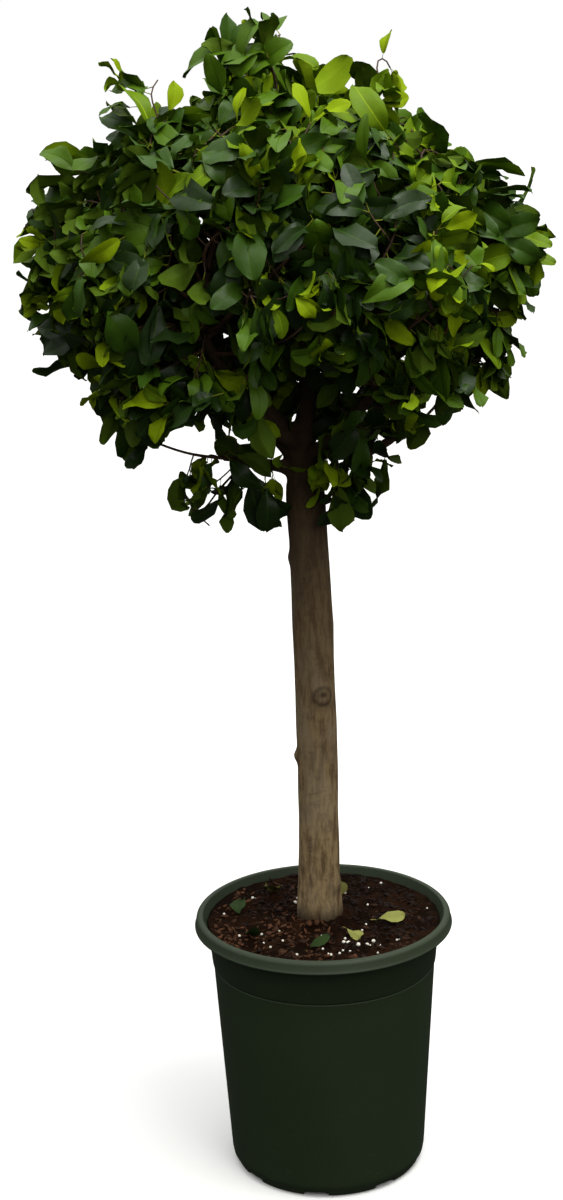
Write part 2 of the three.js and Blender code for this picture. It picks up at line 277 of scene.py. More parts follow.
class Finish:
    """A material round one Principled shader, with short ways to make its nodes."""

    def __init__(self, name, **sockets):
        self.material = bpy.data.materials.new(name)
        self.material.use_nodes = True
        self.tree = self.material.node_tree
        self.shader = self.tree.nodes["Principled BSDF"]
        self.set(**sockets)

    def node(self, kind, values, out=0, **settings):
        """One output of a new node, made with its settings and its sockets' values or links."""
        made = self.tree.nodes.new(kind)
        for name, value in settings.items():
            setattr(made, name, value)
        for name, value in values.items():
            self.feed(made.inputs[name], value)
        return Flow(self, made.outputs[out])

    def feed(self, socket, value):
        """A socket's link, where the value is a flow, or else its plain value."""
        if isinstance(value, Flow):
            self.tree.links.new(value.socket, socket)
        elif socket.type == "RGBA":
            socket.default_value = (*value[:3], 1)
        else:
            socket.default_value = value

    def set(self, **sockets):
        """Values or links of the shader's sockets, named with _ for each space."""
        for name, value in sockets.items():
            self.feed(self.shader.inputs[name.replace("_", " ")], value)

    @functools.cached_property
    def place(self):
        """The piece's own coordinates."""
        return self.node("ShaderNodeTexCoord", {}, out="Object")

    @functools.cached_property
    def height(self):
        """Height in the piece's own coordinates."""
        return self.node("ShaderNodeSeparateXYZ", {0: self.place}, out="Z")

    def cloud(self, scale, detail=3, rough=0.5, stretch=(1, 1, 1)):
        """Soft noise from 0 to 1 on Object coordinates, finer across an axis with a larger stretch."""
        spread = self.node("ShaderNodeMapping", {"Vector": self.place, "Scale": stretch})
        values = {"Vector": spread, "Scale": scale, "Detail": detail, "Roughness": rough}
        return self.node("ShaderNodeTexNoise", values, out="Fac")

    def rise(self, value, low, high):
        """0 below low, 1 above high, and smooth between them."""
        values = {"Value": value, "From Min": low, "From Max": high}
        return self.node("ShaderNodeMapRange", values, interpolation_type="SMOOTHSTEP")

    def blend(self, factor, first, second):
        """First colour where the factor is 0, second where it is 1."""
        values = {"Factor": factor, 6: first, 7: second}
        return self.node("ShaderNodeMix", values, out=2, data_type="RGBA")

    def bump(self, height, distance, strength=1.0):
        """The surface's normal with a relief of a height, where a height of 1 is the distance."""
        values = {"Height": height, "Distance": distance, "Strength": strength}
        return self.node("ShaderNodeBump", values)


def tinted(tint, factor):
    """A colour made lighter or darker by a factor."""
    return tuple(min(1.0, channel * factor) for channel in tint)


def pot_finish(pot, low, high):
    """Dark green moulded plastic: paler on the lip, partly dust and partly painted sheen of the light from
    above, dusty at the foot, with a faint orange peel.
    """
    finish = Finish("pot_plastic", Specular_IOR_Level=0.2)
    mottle = finish.cloud(9, 4)
    fine = finish.cloud(70, 3)
    lip = finish.rise(finish.height, high - pot.lip_height - 1 * MM, high - pot.lip_height + 2 * MM)
    foot = 1 - finish.rise(finish.height, low, low + 90 * MM)
    specks = finish.rise(finish.cloud(420, 2), 0.735, 0.78)
    scuffs = finish.rise(finish.cloud(60, 5, 0.7, (1, 1, 5)), 0.60, 0.72)
    body = finish.blend(mottle, tinted(pot.plastic, 0.86), tinted(pot.plastic, 1.16))
    # painted sheen and dust: the whole lip turns paler
    body = finish.blend(lip * (0.55 + 0.4 * fine), body, pot.lip_dust_and_sheen)
    body = finish.blend(specks * (0.25 + 0.4 * foot), body, pot.dust)
    body = finish.blend(scuffs * (0.05 + 0.16 * foot + 0.12 * lip), body, pot.dust)
    finish.set(Base_Color=body, Roughness=0.44 + 0.16 * mottle + 0.1 * foot)
    finish.set(Normal=finish.bump(finish.cloud(520, 2) + 2.5 * mottle, 0.12 * MM))
    return finish.material


def mix_finish(mix):
    """Crumbly potting mix, from wet and dark to dry and brown."""
    finish = Finish("potting_mix", Specular_IOR_Level=0.03)
    patches = finish.rise(finish.cloud(26, 4), 0.40, 0.66)
    grains = finish.cloud(330, 4, 0.65)
    fibres = finish.rise(finish.cloud(190, 3, 0.6, (1, 2.6, 1)), 0.60, 0.70)
    base = finish.blend(patches, mix.dark, mix.brown)
    base = finish.blend(grains, tinted(mix.dark, 0.55), base)
    base = finish.blend(fibres * (0.25 + 0.6 * patches), base, mix.chip)
    finish.set(Base_Color=base, Roughness=0.82 + 0.12 * grains)
    finish.set(Normal=finish.bump(grains + 0.5 * fibres, 1.6 * MM))
    return finish.material


def scrap_finish(name, tint, spread, scale):
    """Rough organic scraps in one colour, some lighter and some darker."""
    finish = Finish(name, Specular_IOR_Level=0.12)
    shade = finish.rise(finish.cloud(scale, 2), 0.34, 0.66)
    finish.set(Base_Color=finish.blend(shade, tinted(tint, 1 - spread), tinted(tint, 1 + spread)))
    finish.set(Roughness=0.75 + 0.15 * shade)
    finish.set(Normal=finish.bump(finish.cloud(scale * 6, 2), 0.3 * MM))
    return finish.material


def bark_finish(bark, foot, fork):
    """Smooth fig bark: fine upright streaks and corky spots, darker and browner up at the fork, partly its
    own bark and partly painted shadow of the crown; darker too at the stem's foot.
    """
    finish = Finish("bark", Specular_IOR_Level=0.22)
    streaks = finish.cloud(170, 4, 0.65, (1, 1, 0.24))
    fine = finish.cloud(520, 3, 0.6, (1, 1, 0.2))
    bands = finish.cloud(150, 4, 0.65, (0.4, 0.4, 2))
    knot = finish.node("ShaderNodeAttribute", {}, out="Fac", attribute_name="knot")
    patches = finish.cloud(30, 4, 0.55, (1, 1, 0.35))
    corks = finish.rise(finish.cloud(300, 2, 0.5, (1, 1, 1.5)), 0.63, 0.72)
    # painted shade: the bark darkens from the foot upwards, partly its own tone and partly the crown's shadow
    middle = finish.rise(finish.height, foot, foot + 0.6 * (fork - foot))
    crown_shade = finish.rise(finish.height, foot + 0.4 * (fork - foot), fork)
    base = finish.blend(finish.rise(streaks, 0.36, 0.62), bark.brown, bark.grey)
    base = finish.blend(finish.rise(patches, 0.46, 0.68) * 0.45, base, bark.pale)
    base = finish.blend(finish.rise(fine, 0.60, 0.74) * 0.55, base, tinted(bark.brown, 0.45))
    base = finish.blend(finish.rise(bands, 0.55, 0.72) * 0.4, base, tinted(bark.brown, 0.7))
    base = finish.blend(corks * 0.35, base, bark.pale)
    base = finish.blend(middle * 0.5, base, tinted(bark.brown, 0.8))
    # painted shadow of the crown over the upper stem, partly also darker bark there
    base = finish.blend(crown_shade * (0.78 + 0.22 * patches), base, bark.shade)
    base = finish.blend(knot * 0.8, base, tinted(bark.shade, 0.6))
    # the bark darkens towards the stem's foot, over its lowest 24 mm or so
    dry = finish.rise(finish.height, foot - 4 * MM, foot + 24 * MM)
    base = finish.blend(0.9 - 0.9 * dry, base, tinted(bark.shade, 0.6))
    finish.set(Base_Color=base, Roughness=0.74 + 0.16 * streaks)
    finish.set(Normal=finish.bump(streaks + 0.6 * fine + 0.5 * bands, 0.7 * MM, 0.8))
    return finish.material


def twig_finish(tint):
    """Thin young bark, reddish brown with paler specks."""
    finish = Finish("young_bark", Specular_IOR_Level=0.3)
    shade = finish.rise(finish.cloud(45, 3), 0.35, 0.65)
    specks = finish.rise(finish.cloud(700, 2), 0.62, 0.7)
    base = finish.blend(shade, tinted(tint, 0.55), tinted(tint, 1.15))
    finish.set(Base_Color=finish.blend(specks * 0.4, base, tinted(tint, 2.4)))
    finish.set(Roughness=0.6 + 0.2 * shade)
    finish.set(Normal=finish.bump(finish.cloud(500, 2, 0.5, (1, 1, 0.4)), 0.2 * MM))
    return finish.material


def leaf_finish(name, tint, rough, shine):
    """Leathery leaf in one plain colour with a gentle mottle, under a soft gloss."""
    finish = Finish(name, Specular_IOR_Level=shine)
    mottle = finish.cloud(38, 2)
    finish.set(Base_Color=finish.blend(mottle, tinted(tint, 0.82), tinted(tint, 1.18)))
    finish.set(Roughness=rough + 0.12 * mottle)
    finish.set(Normal=finish.bump(finish.cloud(160, 2), 0.35 * MM))
    return finish.material


# ---------------------------------------------------------------------------------------------
# Meshes and the frame


def mesh_of(shape, name):
    """A bmesh as a mesh; the bmesh is used up."""
    mesh = bpy.data.meshes.new(name)
    shape.to_mesh(mesh)
    shape.free()
    return mesh


def finished(name, mesh, slot, materials, *nodes):
    """An object from a mesh that rides on the plant and stands for the named nodes."""
    mesh.name = name
    if not len(mesh.polygons):
        raise RuntimeError(f"{name} has no faces")
    piece = bpy.data.objects.new(name, mesh)
    bpy.context.scene.collection.objects.link(piece)
    paints = np.zeros(len(mesh.polygons), np.int32)
    mesh.polygons.foreach_get("material_index", paints)
    mesh.materials.clear()
    for material in materials:
        mesh.materials.append(material)
    mesh.polygons.foreach_set("material_index", np.minimum(paints, len(materials) - 1))
    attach(piece, BODY)
    if nodes:
        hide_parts(*nodes)
    return piece


def smooth_shaded(mesh, angle):
    """Smooth shading that breaks at edges sharper than the angle."""
    mesh.polygons.foreach_set("use_smooth", np.ones(len(mesh.polygons), bool))
    mesh.set_sharp_from_angle(angle=angle)
    return mesh


def applied(data, kind=None, **settings):
    """The mesh that comes of a curve or a mesh, with a modifier where one is named."""
    holder = bpy.data.objects.new("holder", data)
    bpy.context.scene.collection.objects.link(holder)
    modifier = holder.modifiers.new(kind, kind) if kind else None
    for name, value in settings.items():
        setattr(modifier, name, value)
    made = bpy.data.meshes.new_from_object(holder.evaluated_get(bpy.context.evaluated_depsgraph_get()))
    bpy.data.objects.remove(holder)
    return made


def welded(*names):
    """One bmesh of some CAD nodes with their loose triangles joined."""
    shape = bmesh.new()
    for name in names:
        shape.from_mesh(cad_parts[name].data)
    bmesh.ops.remove_doubles(shape, verts=shape.verts, dist=WELD)
    return shape


def smoothed(shape, verts, rounds):
    """Eases some of a shape's points towards their neighbours, round by round."""
    axes = {f"use_axis_{axis}": True for axis in "xyz"}
    for _ in range(rounds):
        bmesh.ops.smooth_vert(shape, verts=verts, factor=0.5, **axes)


def section(shape, point, normal):
    """Centre and radius of the loop that a plane cuts through a shape."""
    parts = shape.verts[:] + shape.edges[:] + shape.faces[:]
    cut = bmesh.ops.bisect_plane(shape, geom=parts, plane_co=point, plane_no=normal)["geom_cut"]
    edges = [item for item in cut if isinstance(item, bmesh.types.BMEdge)]
    whole = sum(edge.calc_length() for edge in edges)
    middles = [(edge.verts[0].co + edge.verts[1].co) / 2 for edge in edges]
    centre = sum((m * e.calc_length() for m, e in zip(middles, edges)), Vector()) / whole
    radius = sum((m - centre).length * e.calc_length() for m, e in zip(middles, edges)) / whole
    return centre, radius


def stem_line():
    """Centres and radii up the stem, from its foot to its top."""
    rings = 30
    low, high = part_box("stem")
    shape = welded("stem")
    heights = np.linspace(low.z + 0.5 * MM, high.z - 1.5 * MM, rings)
    line = [section(shape, Vector((0, 0, z)), UP) for z in heights]
    shape.free()
    return line


def point_at(line, height):
    """The stem's centre at a height."""
    heights = [centre.z for centre, _ in line]
    return Vector([np.interp(height, heights, [centre[axis] for centre, _ in line]) for axis in range(3)])


def bough_line(name, stem):
    """Centres and radii along a bough, from inside the stem to its tip."""
    rings = 9
    shape = welded(name)
    places = sorted((vert.co.copy() for vert in shape.verts), key=lambda p: (p - point_at(stem, p.z)).length)
    few = max(3, len(places) // 10)  # points at each of its ends
    base = sum(places[:few], Vector()) / few
    tip = sum(places[-few:], Vector()) / few
    along = (tip - base).normalized()
    shares = np.linspace(0.16, 0.98, rings)  # clear of its cut foot and its tip
    line = [section(shape, base.lerp(tip, s), along) for s in shares]
    shape.free()
    # it starts lower in the stem's heart and leaves it through a wider collar
    first, radius = line[0]
    drop = 2.2 * radius
    heart = point_at(stem, base.z - drop)
    collar = heart.lerp(first, 0.55) + Vector((0, 0, 0.1 * radius))
    return [(heart, 1.25 * radius), (collar, 1.22 * radius)] + line


def tube_mesh(lines, corners):
    """One mesh of closed round tubes, each along its own line of (centre, radius) pairs."""
    curve = bpy.data.curves.new("tubes", "CURVE")
    curve.dimensions = "3D"
    curve.bevel_depth = 1
    curve.bevel_resolution = (corners - 4) // 2
    curve.use_fill_caps = True
    for line in lines:
        spline = curve.splines.new("POLY")
        spline.points.add(len(line) - 1)
        spline.points.foreach_set("co", [v for centre, _ in line for v in (*centre, 1)])
        spline.points.foreach_set("radius", [radius for _, radius in line])
    return applied(curve)


def joined(copies, name):
    """One mesh from many placed copies of small patterns.

    Each copy is (pattern, matrix, faces' materials). A pattern is (points, triangles).
    """
    points, triangles, materials, start = [], [], [], 0
    for (corners, faces), matrix, paints in copies:
        turned = corners @ np.array(matrix.to_3x3()).T + np.array(matrix.translation)
        points.append(turned)
        triangles.append(faces + start)
        materials.append(paints)
        start += len(corners)
    mesh = bpy.data.meshes.new(name)
    faces = np.concatenate(triangles)
    mesh.vertices.add(start)
    mesh.vertices.foreach_set("co", np.concatenate(points).astype(np.float32).ravel())
    mesh.loops.add(faces.size)
    mesh.loops.foreach_set("vertex_index", faces.astype(np.int32).ravel())
    mesh.polygons.add(len(faces))
    mesh.polygons.foreach_set("loop_start", np.arange(0, faces.size, 3, dtype=np.int32))
    mesh.polygons.foreach_set("material_index", np.concatenate(materials).astype(np.int32))
    mesh.update(calc_edges=True)
    return mesh


def pattern_of(shape):
    """A bmesh's points, triangles and the materials of its triangles, as arrays."""
    bmesh.ops.triangulate(shape, faces=shape.faces)
    shape.verts.index_update()
    points = np.array([vert.co for vert in shape.verts])
    triangles = np.array([[vert.index for vert in face.verts] for face in shape.faces])
    materials = np.array([face.material_index for face in shape.faces])
    shape.free()
    return points, triangles, materials


def extent(points):
    """The lowest and the highest corner of the box round some points."""
    low = Vector([min(point[axis] for point in points) for axis in range(3)])
    high = Vector([max(point[axis] for point in points) for axis in range(3)])
    return low, high


def clamped(value):
    """A value held between 0 and 1."""
    return min(1.0, max(0.0, value))


class Foliage:
    """The room for foliage: the CAD's masses fused into one, dented between tufts, and the cuffs.

    A cuff is the room for leaves round the outer stretch of a bough.
    """

    def __init__(self, crown, limbs):
        self.crown = crown
        overlap = 1 * MM
        shape = welded(*MASSES)
        shape.normal_update()
        for vert in shape.verts:
            vert.co += overlap * vert.normal
        fused = applied(mesh_of(shape, "room"), "REMESH", mode="VOXEL", voxel_size=crown.voxel)
        points = [vert.co.copy() for vert in fused.vertices]
        self.tree = BVHTree.FromPolygons(points, [tuple(face.vertices) for face in fused.polygons])
        self.low, self.high = extent(points)
        self.limbs = KDTree(len(limbs))
        for index, place in enumerate(limbs):
            self.limbs.insert(place, index)
        self.limbs.balance()
        heads = [name for name in MASSES if name.startswith(("mass_middle", "mass_upper"))]
        low, high = extent([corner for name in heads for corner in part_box(name)])
        self.centre = (low + high) / 2
        self.half = (high - low) / 2

    def depth(self, point):
        """How far inside the room a point is, below 0 outside it.

        The dents fade out towards the shoots beyond the ball, which stay whole.
        """
        shoots_level = 1.08
        fade = 0.1
        point = Vector(point)
        place, normal, _, gap = self.tree.find_nearest(point)
        inside = gap if (point - place).dot(normal) < 0 else -gap
        dent = clamped(0.4 + 1.8 * noise.noise(point / self.crown.tuft))
        dent *= clamped((shoots_level - self.level(point)) / fade)
        return max(inside - self.crown.dents * dent, self.crown.cuff - self.limbs.find(point)[2])

    def in_core(self, point):
        """Whether a point is in the heart of the crown, where nothing is left open."""
        return self.level(point) < 0.8 and point.z > self.centre.z - 0.5 * self.half.z

    def in_reach(self, point):
        """Whether a point is a little short of the crown's own furthest reach on every side."""
        room = 3 * MM
        return all(self.low[axis] + room < point[axis] < self.high[axis] - room for axis in range(3))

    def outwards(self, point):
        """The way out of the crown from a point."""
        away = Vector(point) - self.centre
        return Vector([away[axis] / self.half[axis] ** 2 for axis in range(3)]).normalized()

    def level(self, point):
        """How far out a point is, from 0 at the crown's centre to about 1 at its skin."""
        away = Vector(point) - self.centre
        return Vector([away[axis] / self.half[axis] for axis in range(3)]).length


# ---------------------------------------------------------------------------------------------
# Pot


def arc(centre, radius, start, end, steps):
    """Points along an arc in the plane of radius and height, from one angle in degrees to another."""
    turns = np.radians(np.linspace(start, end, steps + 1))
    return [(centre[0] + radius * math.cos(t), centre[1] + radius * math.sin(t)) for t in turns]


def wall_line(pot, skirt):
    """(height, outer radius) of the pot's wall at its bends, from the foot up to the lip."""
    top = pot.step_height + pot.step_rise
    low = (pot.body_start, pot.body_low)
    return [low, (pot.step_height, pot.body_high), (top, pot.band_low), (skirt - 6 * MM, pot.band_high)]


def pot_outline(pot, height, lip_radius):
    """The pot's section, from the middle of its underside up, over the lip and down to its floor."""
    recess = 1.6 * MM  # the underside's middle is this much higher than the foot ring
    foot_ring = 11 * MM
    bead = 1.5 * MM  # radius of the lip's lower edge
    roll = 5.5 * MM  # radius of the lip's upper edge
    skirt = height - pot.lip_height
    # the foot
    outline = [(0, recess), (pot.foot_radius - foot_ring - 2 * recess, recess)]
    outline += [(pot.foot_radius - foot_ring, 0)]
    outline += arc((pot.foot_radius - pot.foot_round, pot.foot_round), pot.foot_round, -90, 0, 6)
    outline += [(pot.body_low - 1.2 * MM, 0.62 * pot.body_start), (pot.body_low, pot.body_start)]
    # the body, with a shallow groove where the band steps out
    outline += [(pot.body_high, pot.step_height), (pot.body_high - 0.9 * MM, pot.step_height + 1 * MM)]
    outline += [(pot.body_high - 0.7 * MM, pot.step_height + 1.8 * MM)]
    outline += [(pot.band_low - 0.5 * MM, pot.step_height + pot.step_rise - 0.8 * MM)]
    outline += [(pot.band_low, pot.step_height + pot.step_rise), (pot.band_high, skirt - 2 * MM)]
    # the rolled lip
    outline += [(pot.band_high + 0.8 * MM, skirt), (pot.band_high + 4 * MM, skirt + 1.6 * MM)]
    outline += [(lip_radius - 3 * MM, skirt + 1.6 * MM)]
    outline += arc((lip_radius - bead, skirt + bead), bead, -110, 45, 6)
    outline += [(lip_radius - 1.5 * MM, skirt + 4.5 * MM)]
    outline += arc((lip_radius - 1.9 * MM - roll, height - roll), roll, 12, 90, 6)
    outline += arc((pot.lip_inner + 2 * MM, height - 2.2 * MM), 2 * MM, 90, 180, 4)
    # the inside
    outline += [(radius - pot.wall, z) for z, radius in reversed(wall_line(pot, skirt))]
    outline += arc((pot.foot_radius - 8 * MM, pot.floor + 6 * MM), 5 * MM, 0, -90, 4)
    outline += [(0, pot.floor)]
    return outline


def spun(outline, sides):
    """A closed turned shape from the outline of its section, with normals outwards."""
    shape = bmesh.new()
    verts = [shape.verts.new((radius, 0, z)) for radius, z in outline]
    edges = [shape.edges.new(pair) for pair in zip(verts, verts[1:])]
    bmesh.ops.spin(
        shape, geom=verts + edges, cent=(0, 0, 0), axis=UP, angle=math.tau, steps=sides, use_merge=True
    )
    bmesh.ops.remove_doubles(shape, verts=shape.verts, dist=WELD)
    bmesh.ops.recalc_face_normals(shape, faces=shape.faces)
    return shape


def notch_cutters(pot, radius):
    """A ring of rounded blocks that cut the drainage notches through the foot's edge."""
    shape = bmesh.new()
    first_turn = math.radians(-98)
    for index in range(pot.notches):
        turn = Matrix.Rotation(first_turn + index * math.tau / pot.notches, 4, "Z")
        size = Matrix.Diagonal((2 * pot.notch_depth, pot.notch_width, 2 * pot.notch_height, 1))
        block = bmesh.ops.create_cube(shape, size=1, matrix=turn @ Matrix.Translation((radius, 0, 0)) @ size)
        edges = list({edge for vert in block["verts"] for edge in vert.link_edges})
        bmesh.ops.bevel(
            shape, geom=edges, offset=2 * MM, segments=2, affect="EDGES", profile=0.5, material=-1
        )
    return mesh_of(shape, "notches")


class TOPIARY_OT_pot(bpy.types.Operator):
    """Spin the nursery pot and cut its drainage notches"""

    bl_idname = "topiary.pot"
    bl_label = "Nursery Pot"

    def execute(self, context):
        pot = context.scene.topiary_pot
        low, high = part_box("pot")
        mesh = mesh_of(spun(pot_outline(pot, high.z, (high.x - low.x) / 2), pot.sides), "pot")
        cutter = bpy.data.objects.new("cutter", notch_cutters(pot, pot.foot_radius))
        context.scene.collection.objects.link(cutter)
        cut = applied(mesh, "BOOLEAN", operation="DIFFERENCE", solver="EXACT", object=cutter)
        bpy.data.objects.remove(cutter)
        smooth_shaded(cut, math.radians(38))
        finished("nursery_pot", cut, "pot_plastic", [pot_finish(pot, low.z, high.z)], "pot")
        return {"FINISHED"}


# ---------------------------------------------------------------------------------------------
# Potting mix and what lies on it


def mix_height(x, y, radius, middle, mix):
    """Height of the mix's surface: a low mound, heaped at the stem, with clods of three sizes."""
    out = min(1.0, math.hypot(x, y) / radius)
    mound = middle - mix.mound * (1 - max(0.0, 1 - out * 1.6) ** 1.3)
    mound += mix.heap * max(0.0, 1 - (out * radius / mix.heap_radius) ** 2)
    broad = noise.noise(Vector((x * 18, y * 18, 3.1))) * 0.9
    lumps = noise.turbulence(Vector((x * 70, y * 70, 8.4)), 3, False) * 1.5 - 0.7
    crumbs = noise.noise(Vector((x * 260, y * 260, 1.7))) * 0.45
    return mound + mix.clods * (broad + lumps + crumbs) * (1 - 0.55 * out**6)


def mix_surface(mix):
    """The mix's surface as a function of place, with its radius and lowest level, from the frame."""
    low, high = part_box("potting_mix")
    radius = (high.x - low.x) / 2
    middle = high.z - 1.5 * MM
    centre = (low + high) / 2

    def surface(x, y):
        return mix_height(x - centre.x, y - centre.y, radius, middle, mix)

    return surface, radius, low.z


class TOPIARY_OT_potting_mix(bpy.types.Operator):
    """Fill the pot with a crumbly mound of potting mix"""

    bl_idname = "topiary.potting_mix"
    bl_label = "Potting Mix"

    def execute(self, context):
        mix = context.scene.topiary_mix
        pot = context.scene.topiary_pot
        surface, radius, floor = mix_surface(mix)
        brim = surface(radius, 0)
        play = 0.6 * MM  # between the mix and the pot's wall
        rings = 66
        sides = 200
        top = [((radius - play) * out, brim) for out in np.linspace(0, 1, rings) ** 0.8]
        bends = [(z, r) for z, r in wall_line(pot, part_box("pot")[1].z - pot.lip_height) if z < brim - play]
        side = [(r - pot.wall - play, z) for z, r in reversed(bends)]
        shape = spun(top + side + [(pot.foot_radius - 8 * MM, floor + play), (0, floor + play)], sides)
        for vert in shape.verts:
            if abs(vert.co.z - brim) < 0.01 * MM:
                vert.co.z = surface(vert.co.x, vert.co.y)
        bmesh.ops.recalc_face_normals(shape, faces=shape.faces)
        mesh = mesh_of(shape, "potting_mix_surface")
        mesh.shade_smooth()
        finished("potting_mix_surface", mesh, "potting_mix", [mix_finish(mix)], "potting_mix")
        return {"FINISHED"}


def resting(surface, x, y, turn, tilt, lift):
    """A place on the mix for something that lies along the surface, turned and a little tilted."""
    near = 6 * MM
    slope_x = (surface(x + near, y) - surface(x - near, y)) / (2 * near)
    slope_y = (surface(x, y + near) - surface(x, y - near)) / (2 * near)
    lie = UP.rotation_difference(Vector((-slope_x, -slope_y, 1)).normalized()).to_matrix().to_4x4()
    turned = Matrix.Rotation(turn, 4, "Z") @ Matrix.Rotation(tilt, 4, "Y")
    return Matrix.Translation((x, y, surface(x, y) + lift)) @ lie @ turned


# Each kind of chip: its width and its thickness as shares of its length, and how far it bends.
CHIP_KINDS = ((0.42, 0.16, 0.1), (0.3, 0.2, 0.2), (0.16, 0.1, 0.5), (0.09, 0.07, 0.9), (0.6, 0.3, 0))


def chip_patterns(dice):
    """A few splintered bark chips and bent fibres, one unit long."""
    patterns = []
    for width, thick, bend in CHIP_KINDS:
        shape = bmesh.new()
        bmesh.ops.create_cube(shape, size=1)
        long_edges = [e for e in shape.edges if abs((e.verts[0].co - e.verts[1].co).x) > 0.5]
        bmesh.ops.subdivide_edges(shape, edges=long_edges, cuts=2)
        for vert in shape.verts:
            ends = 1 - 0.5 * (2 * abs(vert.co.x)) ** 3
            vert.co.y *= width * ends * dice.uniform(0.7, 1.3)
            vert.co.z *= thick * ends * dice.uniform(0.7, 1.3)
            vert.co.y += bend * (vert.co.x**2 - 0.08)
            vert.co.x += dice.uniform(-0.06, 0.06)
        patterns.append(pattern_of(shape))
    return patterns


def ball_pattern(dice):
    """An uneven little ball, one unit across."""
    shape = bmesh.new()
    bmesh.ops.create_icosphere(shape, subdivisions=2, radius=0.5)
    for vert in shape.verts:
        vert.co *= dice.uniform(0.86, 1.12)
    return pattern_of(shape)


def in_ring(dice, inner, outer):
    """A random place in a ring round the pot's middle, evenly by area."""
    out = math.sqrt(dice.uniform(inner**2, outer**2))
    turn = dice.uniform(0, math.tau)
    return out * math.cos(turn), out * math.sin(turn)


class TOPIARY_OT_litter(bpy.types.Operator):
    """Scatter bark chips, fibres and perlite over the potting mix"""

    bl_idname = "topiary.litter"
    bl_label = "Bark Chips and Perlite"

    def execute(self, context):
        mix = context.scene.topiary_mix
        surface, radius, _ = mix_surface(mix)
        low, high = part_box("stem")
        stem_radius = (high.x - low.x) / 2
        dice = random.Random(mix.seed)
        self.add_chips(mix, surface, stem_radius, radius, dice)
        self.add_perlite(mix, surface, stem_radius, radius, dice)
        return {"FINISHED"}

    def add_chips(self, mix, surface, stem_radius, radius, dice):
        """Bark chips and fibres all over the mix, paler where it is drier."""
        patterns = chip_patterns(dice)
        chips = []
        for _ in range(mix.chips):
            x, y = in_ring(dice, stem_radius, radius - 5 * MM)
            points, faces, paints = dice.choice(patterns)
            size = dice.triangular(3.5, 13, 5) * MM
            tilt = dice.gauss(0, 0.35)
            place = resting(surface, x, y, dice.uniform(0, math.tau), tilt, dice.uniform(-0.6, 0.8) * MM)
            drier = noise.noise(Vector((x * 14 + 4, y * 14, 0))) + 0.5 * (-x - y) / radius
            tone = int(drier + dice.gauss(0, 0.35) > 0.1) + int(drier + dice.gauss(0, 0.3) > 0.5)
            chips.append(((points, faces), place @ Matrix.Scale(size, 4), paints + tone))
        tones = [
            scrap_finish("bark_chip_dark", tinted(mix.dark, 1.1), 0.5, 120),
            scrap_finish("bark_chip_brown", mix.brown, 0.45, 120),
            scrap_finish("bark_chip_orange", mix.chip, 0.4, 120),
        ]
        finished("bark_chips", joined(chips, "bark_chips"), "potting_mix", tones)

    def add_perlite(self, mix, surface, stem_radius, radius, dice):
        """Grains of perlite: every other one lies anywhere on the mix, the rest in a patch in front."""
        patch = ((25, 35), (-88, 22))  # its middle and its spread, to the right and to the back, in mm
        points, faces, paints = ball_pattern(dice)
        grains = []
        for index in range(mix.perlite):
            x, y = in_ring(dice, stem_radius + 5 * MM, radius - 8 * MM)
            if index % 2:
                x, y = [dice.gauss(*middle_and_spread) * MM for middle_and_spread in patch]
            if not stem_radius + 4 * MM < math.hypot(x, y) < radius - 5 * MM:
                continue
            size = dice.triangular(1.8, 5.4, 2.8) * MM
            place = resting(surface, x, y, dice.uniform(0, math.tau), dice.gauss(0, 1), 0.25 * size)
            grains.append(((points, faces), place @ Matrix.Scale(size, 4), paints))
        mesh = smooth_shaded(joined(grains, "perlite"), math.radians(50))
        finished("perlite", mesh, "potting_mix", [scrap_finish("perlite", mix.grain, 0.12, 400)])


# ---------------------------------------------------------------------------------------------
# Stem and boughs


def knots_of(stem, bark):
    """Knots that climb round the stem: (centre, width, whether it is an old pruning cut)."""
    foot, tip = stem[0][0].z, stem[-1][0].z
    cut_turn = math.radians(-70)
    climb_turn = math.radians(110)  # from each knot to the next
    climb_share = 0.95  # of the stem's height
    middle = bark.knots // 2
    knots = []
    for index in range(bark.knots):
        height = foot + climb_share * (tip - foot) * (index + 0.5) / bark.knots
        turn = cut_turn + climb_turn * (index - middle)
        radius = float(np.interp(height, [c.z for c, _ in stem], [r for _, r in stem]))
        side = Vector((math.cos(turn), math.sin(turn), 0))
        width = bark.knot_width * (1 + 0.25 * math.sin(2.4 * index))
        knots.append((point_at(stem, height) + radius * side, width, index == middle))
    return knots


def knot_relief(point, knots, bark):
    """How far the knots lift the bark at a point, and how dark they make it.

    An old pruning cut has a hollow in its middle and a dark ring round it.
    """
    lift = 0.0
    shade = 0.0
    for centre, width, is_cut in knots:
        away = (point - centre).length / (width / 2)
        lift += bark.knot_lift * math.exp(-(away**2))
        shade = max(shade, 0.35 * math.exp(-(away**2)))
        if is_cut:
            hollow = math.exp(-((away / 0.35) ** 2))
            lift -= 0.9 * bark.knot_lift * hollow
            shade = max(shade, hollow, 0.8 * math.exp(-(((away - 0.85) / 0.22) ** 2)))
    return lift, shade


def bark_relief(point, bark):
    """Fine upright furrows and broad swellings, as a lift of the bark."""
    furrow = noise.noise(Vector((point.x * 150, point.y * 150, point.z * 15)))
    seam = noise.noise(Vector((point.x * 75 + 9, point.y * 75, point.z * 9)))
    swell = noise.noise(Vector((point.x * 26, point.y * 26, point.z * 15)))
    return bark.furrows * (1.2 * furrow - 0.8 * max(0.0, 0.35 - abs(seam))) + bark.swells * swell


@functools.lru_cache(maxsize=None)
def wood_lines():
    """The centre lines and radii of the stem and of every bough."""
    stem = stem_line()
    return stem, {name: bough_line(name, stem) for name in BOUGHS}


